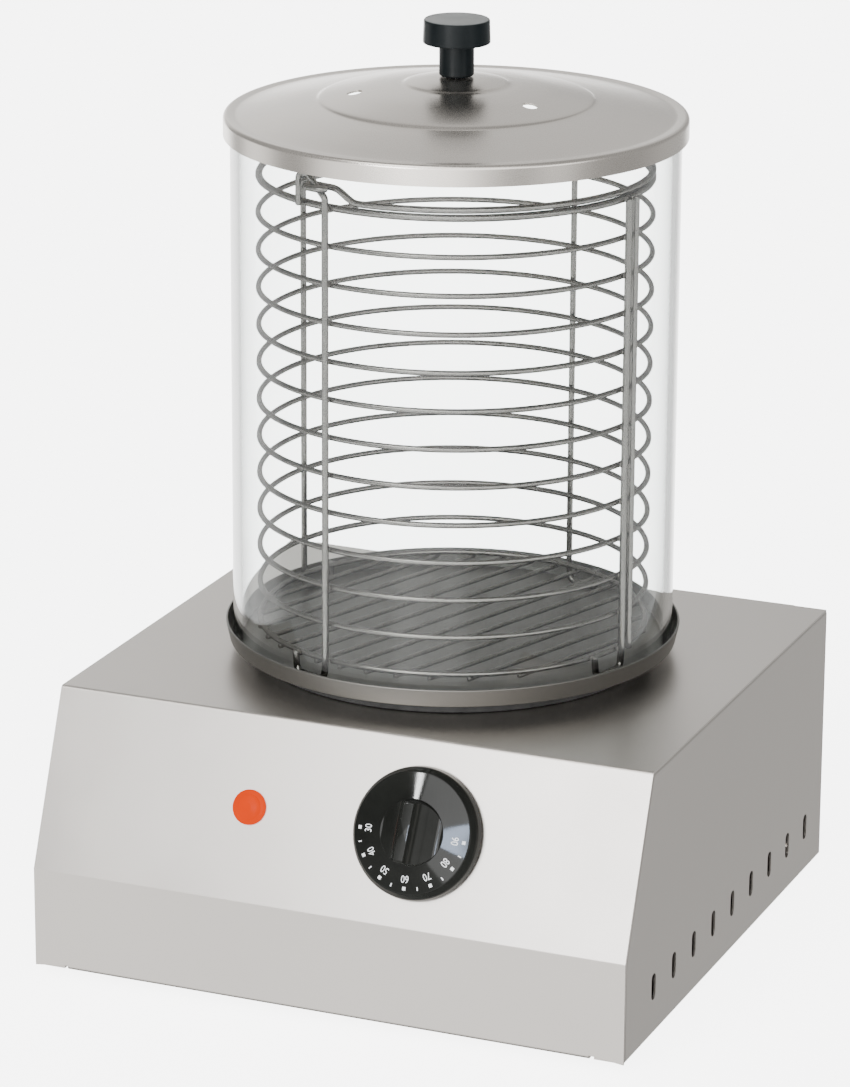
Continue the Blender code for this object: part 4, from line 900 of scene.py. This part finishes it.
def basket_welds():
    """Small flattened nuggets where rings, uprights and foot ends are welded."""
    nuggets = []
    shape = lathe([(0, -1.0), (0.75, -0.7), (1.0, 0), (0.75, 0.7), (0, 1.0)], 12)
    unit = bpy.data.meshes.new("nugget")
    shape.to_mesh(unit)
    shape.free()
    middle = RING_RADIUS + WIRE + 0.15
    places = [(angle, k) for angle in (*ROD_ANGLES.values(), SEAM_ROD_ANGLE) for k in range(RING_COUNT)]
    places += [(angle - degrees(FOOT_SPAN / ROD_RADIUS), RING_COUNT - 1) for angle in ROD_ANGLES.values()]
    for angle, k in places:
        nugget = bmesh.new()
        nugget.from_mesh(unit)
        matrix = axis_matrix(on_circle(middle, angle, TOP_RING - RING_PITCH * k), (0, 0, 1),
                             (cos(radians(angle)), sin(radians(angle)), 0))
        nuggets.append(transformed(nugget, matrix @ Matrix.Diagonal((0.9, 1.3, 1.2, 1))))
    bpy.data.meshes.remove(unit)
    return piece("basket_welds", joined(nuggets), WELD_STEEL, "basket", (), 80)


EYE_LENGTH = 5.25
EYE_WIDTH = 3.15
BAIL_RADIUS = 87.3
BAIL_DROP = 5.5
BAIL_JOG = 12.0


def eye_path(end, inward, towards):
    """An almost closed eye round a lug, in the bail's plane."""
    straight = EYE_LENGTH - EYE_WIDTH
    curl = [(-EYE_WIDTH * sin(radians(a)), straight + EYE_WIDTH * cos(radians(a))) for a in range(0, 91, 10)]
    curl += [(-EYE_WIDTH * cos(radians(a)), -straight - EYE_WIDTH * sin(radians(a))) for a in range(0, 181, 10)]
    return [end + inward * u + towards * v for u, v in curl]


def ring_tangent(point, towards):
    outward = point - CENTRE
    along = Vector((-outward.y, outward.x, 0)).normalized()
    return along if along.dot(towards) > 0 else -along


def bail():
    """The folding handle, laid on the top ring."""
    ends = [arc_point(ROD_ANGLES[name], side * HINGE_FROM_ROD, HINGE_Z) for name, side in LUG_SIDES.items()]
    first, last = ends
    axis = (last - first).normalized()
    towards = axis.cross(Vector((0, 0, 1)))
    centre = CENTRE + Vector((0, 0, HINGE_Z))
    start = ROD_ANGLES["front_left"] + degrees(2.2 / ROD_RADIUS)
    end = ROD_ANGLES["rear_right"] - degrees(2.2 / ROD_RADIUS)
    bow = []
    for k in range(113):
        angle = start + (end - start) * k / 112
        share = min(1.0, radians(min(angle - start, end - angle)) * BAIL_RADIUS / BAIL_JOG)
        bow.append(on_circle(BAIL_RADIUS, angle, HINGE_Z - BAIL_DROP * share * share * (3 - 2 * share)))
    path = eye_path(first, (centre - first).normalized(), ring_tangent(first, towards))
    path += bow + list(reversed(eye_path(last, (centre - last).normalized(), ring_tangent(last, towards))))
    return piece("basket_bail_wire", domed(path, BAIL_WIRE), WIRE_STEEL, "bail", ["basket_bail"], 80)


# ---------------------------------------------------------------- controls

FACE_INNER = 9.9          # the dial's tick face falls slightly from the hub to its rim
FACE_OUTER = 8.7
FACE_RADIUS = 26.2
HUB_RADIUS = 14.3


def face_height(radius):
    return FACE_INNER + (FACE_OUTER - FACE_INNER) * (radius - HUB_RADIUS) / (FACE_RADIUS - HUB_RADIUS)


def dial():
    """A skirted knob with a scooped finger grip, and its printed scale."""
    place = slope_matrix(DIAL_X, CONTROL_HEIGHT)
    top = 19.5
    outline = [(3.3, 1.4), (29.5, 1.4), (28.9, 5.4), (FACE_RADIUS + 0.5, FACE_OUTER),
               (HUB_RADIUS, FACE_INNER), (HUB_RADIUS - 1.0, top), (0, top)]
    profile = rounded(outline, [0.6, 4.0, 1.0, 0.6, 1.2], 8)
    profile = [tuple(p) for p in profile] + [(0, 9.0), (3.3, 9.0)]
    made = piece("dial_knob", transformed(lathe(profile, 144, True), place), DIAL_BLACK, "dial", ["thermostat_dial"])
    scoop_radius, ridge, lift = 11.5, 2.0, 12.2
    scoops = []
    for side in (-1, 1):
        scoop = lathe([(0, 16), (scoop_radius, 16), (scoop_radius, -16), (0, -16)], 120)
        lie = Matrix.Translation((side * (scoop_radius + ridge), 0, FACE_INNER + lift - 0.6)) @ Matrix.Rotation(
            pi / 2, 4, "X")
        scoops.append(transformed(scoop, place @ Matrix.Rotation(radians(-3), 4, "Z") @ lie))
    cut(made, joined(scoops))
    soften(made, 0.35, 3, 40)
    finish_sheet(apply_modifiers(made))
    dial_print(place)


def printed(outline_faces, place):
    """Thin print that follows the dial's face: polygons given as lists of (x, y) points."""
    made = bmesh.new()
    for polygon in outline_faces:
        made.faces.new([made.verts.new((x, y, face_height(hypot(x, y)) + 0.05)) for x, y in polygon])
    return transformed(made, place)


def bar(radius, angle, length, width):
    """A radial bar as four (x, y) corners."""
    along = Vector((cos(radians(angle)), sin(radians(angle))))
    across = Vector((-along.y, along.x))
    middle = along * radius
    return [tuple(middle + along * u * length / 2 + across * v * width / 2)
            for u, v in ((-1, -1), (1, -1), (1, 1), (-1, 1))]


def dial_print(place):
    """The scale: a tick every five degrees, numbers every ten, and the index line at the top."""
    bars = [bar(23.6, 90, 3.6, 1.0)]
    for k in range(13):
        angle = 182 + 176 * k / 12
        bars.append(bar(24.2, angle, 1.5, 1.5 if k % 2 == 0 else 0.5))
    piece("dial_ticks", printed(bars, place), DIAL_WHITE, "dial", ())
    for k, number in enumerate(range(30, 100, 10)):
        angle = 182 + 176 * k / 6
        dial_number(str(number), angle, place)


def dial_number(text, angle, place):
    """One number, its top pointing away from the dial's middle."""
    curve = bpy.data.curves.new("number", "FONT")
    curve.body = text
    curve.size = 4.6
    curve.align_x = "CENTER"
    curve.align_y = "CENTER"
    curve.offset = 0.0
    carrier = bpy.data.objects.new("number", curve)
    bpy.context.scene.collection.objects.link(carrier)
    bpy.context.view_layer.update()
    mesh = bpy.data.meshes.new_from_object(carrier.evaluated_get(bpy.context.evaluated_depsgraph_get()))
    bpy.data.objects.remove(carrier)
    made = bmesh.new()
    made.from_mesh(mesh)
    turn = Matrix.Rotation(radians(angle - 90), 4, "Z")
    middle = Vector((20.0 * cos(radians(angle)), 20.0 * sin(radians(angle)), 0))
    for vert in made.verts:
        flat = turn @ Vector((vert.co.x * 0.8, vert.co.y, 0)) + middle
        vert.co = Vector((flat.x, flat.y, face_height(hypot(flat.x, flat.y)) + 0.05))
    piece("dial_number_" + text, transformed(made, place), DIAL_WHITE, "dial", ())


def lamp():
    """An amber lens with a stepped rim and a faceted inner face."""
    place = slope_matrix(LAMP_X, CONTROL_HEIGHT)
    outline = [(0, 3.45), (2.0, 3.4), (4.8, 3.0), (5.6, 2.5), (5.9, 1.9), (7.3, 1.6), (7.8, 1.1), (7.8, 0.3), (0, 0.3)]
    profile = rounded(outline, [2.0, 2.0, 0.5, 0.4, 0.5, 0.35, 0.1], 5)
    piece("lamp_lens", transformed(lathe([tuple(p) for p in profile], 72), place), AMBER, "casing",
          ["pilot_lamp_lens"])


# ---------------------------------------------------------------- carried-over nodes

def dress(node, surface):
    """Gives a CAD node that is shown as it is its finish."""
    shown = frame["nodes"][node]
    shown.data.materials.clear()
    shown.data.materials.append(surface)


def inner_parts():
    for node in ("rear_panel", "base_plate"):
        dress(node, SHEET_STEEL)
    for node in ("clamp_bar", "clamp_nut", "bulb_clip", "thermostat_shaft"):
        dress(node, ZINC)
    for node in ("thermostat_body", "pilot_lamp_body", "thermal_cutout", "terminal_block"):
        dress(node, CERAMIC)
    for node in ("cable_gland", "gland_nut"):
        dress(node, GLAND_BLACK)
    dress("heater_plate", CAST)
    dress("heating_element", SHEATH)
    dress("thermostat_bulb", COPPER)
    dress("earth_stud", BRASS)
    for node, colour in WIRE_COLOURS.items():
        dress(node, plastic("sleeve_" + node, colour, 0.45, 1200.0, 0.05))


# ---------------------------------------------------------------- studio

def seen_directly(nodes, links, direct, mirrored):
    """One strength for what is seen directly or through glass, another for what is mirrored or lit by it."""
    path = nodes.new("ShaderNodeLightPath")
    bounced = add(nodes, links, path.outputs["Glossy Depth"], path.outputs["Diffuse Depth"])
    ranged = nodes.new("ShaderNodeMapRange")
    ranged.inputs["To Min"].default_value = direct
    ranged.inputs["To Max"].default_value = mirrored
    links.new(bounced, ranged.inputs["Value"])
    return ranged.outputs["Result"]


def stage_piece(name, mesh_data, colour, roughness, glow):
    mesh = bpy.data.meshes.new(name)
    mesh_data.to_mesh(mesh)
    mesh_data.free()
    mesh.shade_smooth()
    made, nodes, links, shader = new_material(name + "_surface")
    specks = noise(nodes, links, 40.0, (1, 1, 1), 4.0, 0.6)
    slightly = tuple(channel * 0.98 for channel in colour)
    links.new(blend_colours(nodes, links, specks, slightly, colour), shader.inputs["Base Color"])
    shader.inputs["Roughness"].default_value = roughness
    shader.inputs["Emission Color"].default_value = (1, 1, 1, 1)
    links.new(seen_directly(nodes, links, glow, 0.1 * glow), shader.inputs["Emission Strength"])
    mesh.materials.append(made)
    backdrop = bpy.data.objects.new(name, mesh)
    bpy.context.scene.collection.objects.link(backdrop)
    return backdrop


def floor():
    """A pale floor that glows a little, as a lit table does. The steel mirrors the studio round it instead."""
    made = bmesh.new()
    reach = 30.0
    made.faces.new([made.verts.new((x, y, 0)) for x, y in ((-reach, -reach), (reach, -reach), (reach, reach),
                                                           (-reach, reach))])
    table = stage_piece("studio_floor", made, (0.9, 0.9, 0.9), 0.7, 5.5)
    table.visible_glossy = False
    return table


def area_light(name, place, target, size, power, colour=(1, 1, 1)):
    data = bpy.data.lights.new(name, "AREA")
    data.shape = "RECTANGLE"
    data.size, data.size_y = size
    data.energy = power
    data.color = colour
    lamp_object = bpy.data.objects.new(name, data)
    lamp_object.location = place
    lamp_object.rotation_mode = "QUATERNION"
    lamp_object.rotation_quaternion = (Vector(target) - Vector(place)).to_track_quat("-Z", "Y")
    lamp_object.visible_camera = False
    lamp_object.visible_transmission = False
    bpy.context.scene.collection.objects.link(lamp_object)
    return lamp_object


def towards(nodes, links, direction, low, high, gain):
    """Extra light from around a direction: gain where the cosine to it passes high, nothing below low."""
    place = nodes.new("ShaderNodeTexCoord")
    product = nodes.new("ShaderNodeVectorMath")
    product.operation = "DOT_PRODUCT"
    product.inputs[1].default_value = Vector(direction).normalized()
    links.new(place.outputs["Generated"], product.inputs[0])
    ranged = nodes.new("ShaderNodeMapRange")
    ranged.interpolation_type = "SMOOTHSTEP"
    ranged.inputs["From Min"].default_value = low
    ranged.inputs["From Max"].default_value = high
    ranged.inputs["To Max"].default_value = gain
    links.new(product.outputs["Value"], ranged.inputs["Value"])
    return ranged.outputs["Result"]


# Brighter areas of the room round the table: direction, cosines where each begins and is full, and added light.
ROOM_LIGHT = 0.45
ROOM_AREAS = (
    ((0.33, -0.88, 0.34), 0.72, 0.93, 2.6),      # key window, low in front
    ((-0.38, -0.86, -0.33), 0.82, 0.97, 1.55),   # its spill on the table to the front left
    ((0.17, -0.94, -0.30), 0.93, 0.99, 1.6),     # white board under the camera
    ((-0.95, 0.05, -0.31), 0.95, 0.995, 1.7),    # reflector on the left
    ((0.93, -0.30, 0.10), 0.93, 0.99, 2.5),      # window on the right
    ((0.30, 0.90, -0.31), 0.80, 0.97, 0.2),      # light wall behind on the right
    ((-0.45, 0.82, -0.42), 0.83, 0.95, 4.2),     # lit table behind
    ((-0.62, 0.75, 0.20), 0.91, 1.0, 0.90),      # light wall behind on the left
    ((-0.25, 0.80, 0.56), 0.86, 0.98, 0.45),     # upper wall behind
    ((-0.20, -0.55, 0.82), 0.93, 0.99, 5.0),     # lamp strip on the ceiling
)


def world():
    """The room round the table: bright on the key side and overhead, dimmer behind."""
    made = bpy.data.worlds.new("studio_world")
    made.use_nodes = True
    nodes, links = made.node_tree.nodes, made.node_tree.links
    background = nodes["Background"]
    background.inputs["Color"].default_value = (1.0, 0.995, 0.985, 1)
    total = None
    for direction, low, high, gain in ROOM_AREAS:
        area = towards(nodes, links, direction, low, high, gain)
        total = area if total is None else add(nodes, links, total, area)
    base = nodes.new("ShaderNodeMath")
    base.operation = "ADD"
    base.inputs[1].default_value = ROOM_LIGHT
    links.new(total, base.inputs[0])
    links.new(base.outputs[0], background.inputs["Strength"])
    bpy.context.scene.world = made


def lights():
    """A small flash above the key side, a narrow bluish window in front and a near softbox on the right."""
    area_light("softbox", (-0.12, -0.99, 0.46), (0.14, -0.12, 0.09), (0.36, 0.4), 3.8)
    area_light("flash", (-0.68, -1.69, 1.10), (0.04, -0.12, 0.09), (0.05, 0.07), 2.2)
    area_light("window", (-0.257, -1.873, 0.757), (0.04, -0.12, 0.09), (0.035, 0.22), 1.6, (0.62, 0.76, 1.0))


def camera():
    """The camera stands where the photographer stood: to the right and a little above."""
    azimuth, elevation, roll = radians(22.54), radians(17.8), radians(0.29)
    distance = 2.12578
    target = Vector((-0.00025, -0.01935, 0.18733))
    back = Vector((sin(azimuth) * cos(elevation), -cos(azimuth) * cos(elevation), sin(elevation)))
    data = bpy.data.cameras.new("camera")
    data.lens = 157.37
    data.sensor_width = 36.0
    data.clip_start, data.clip_end = 0.05, 50.0
    made = bpy.data.objects.new("camera", data)
    made.location = target + back * distance
    made.rotation_mode = "QUATERNION"
    made.rotation_quaternion = (-back).to_track_quat("-Z", "Y") @ Matrix.Rotation(roll, 3, "Z").to_quaternion()
    bpy.context.scene.collection.objects.link(made)
    bpy.context.scene.camera = made


camera()
casing_wrap()
side_panel(-1, "side_panel_left")
side_panel(1, "side_panel_right")
weld_marks()
feet()
rear_screws()
water_pan()
gasket()
glass_tube()
lid()
lid_knob()
basket_rings()
basket_floor()
basket_rods()
basket_welds()
bail()
dial()
lamp()
inner_parts()
floor()
world()
lights()
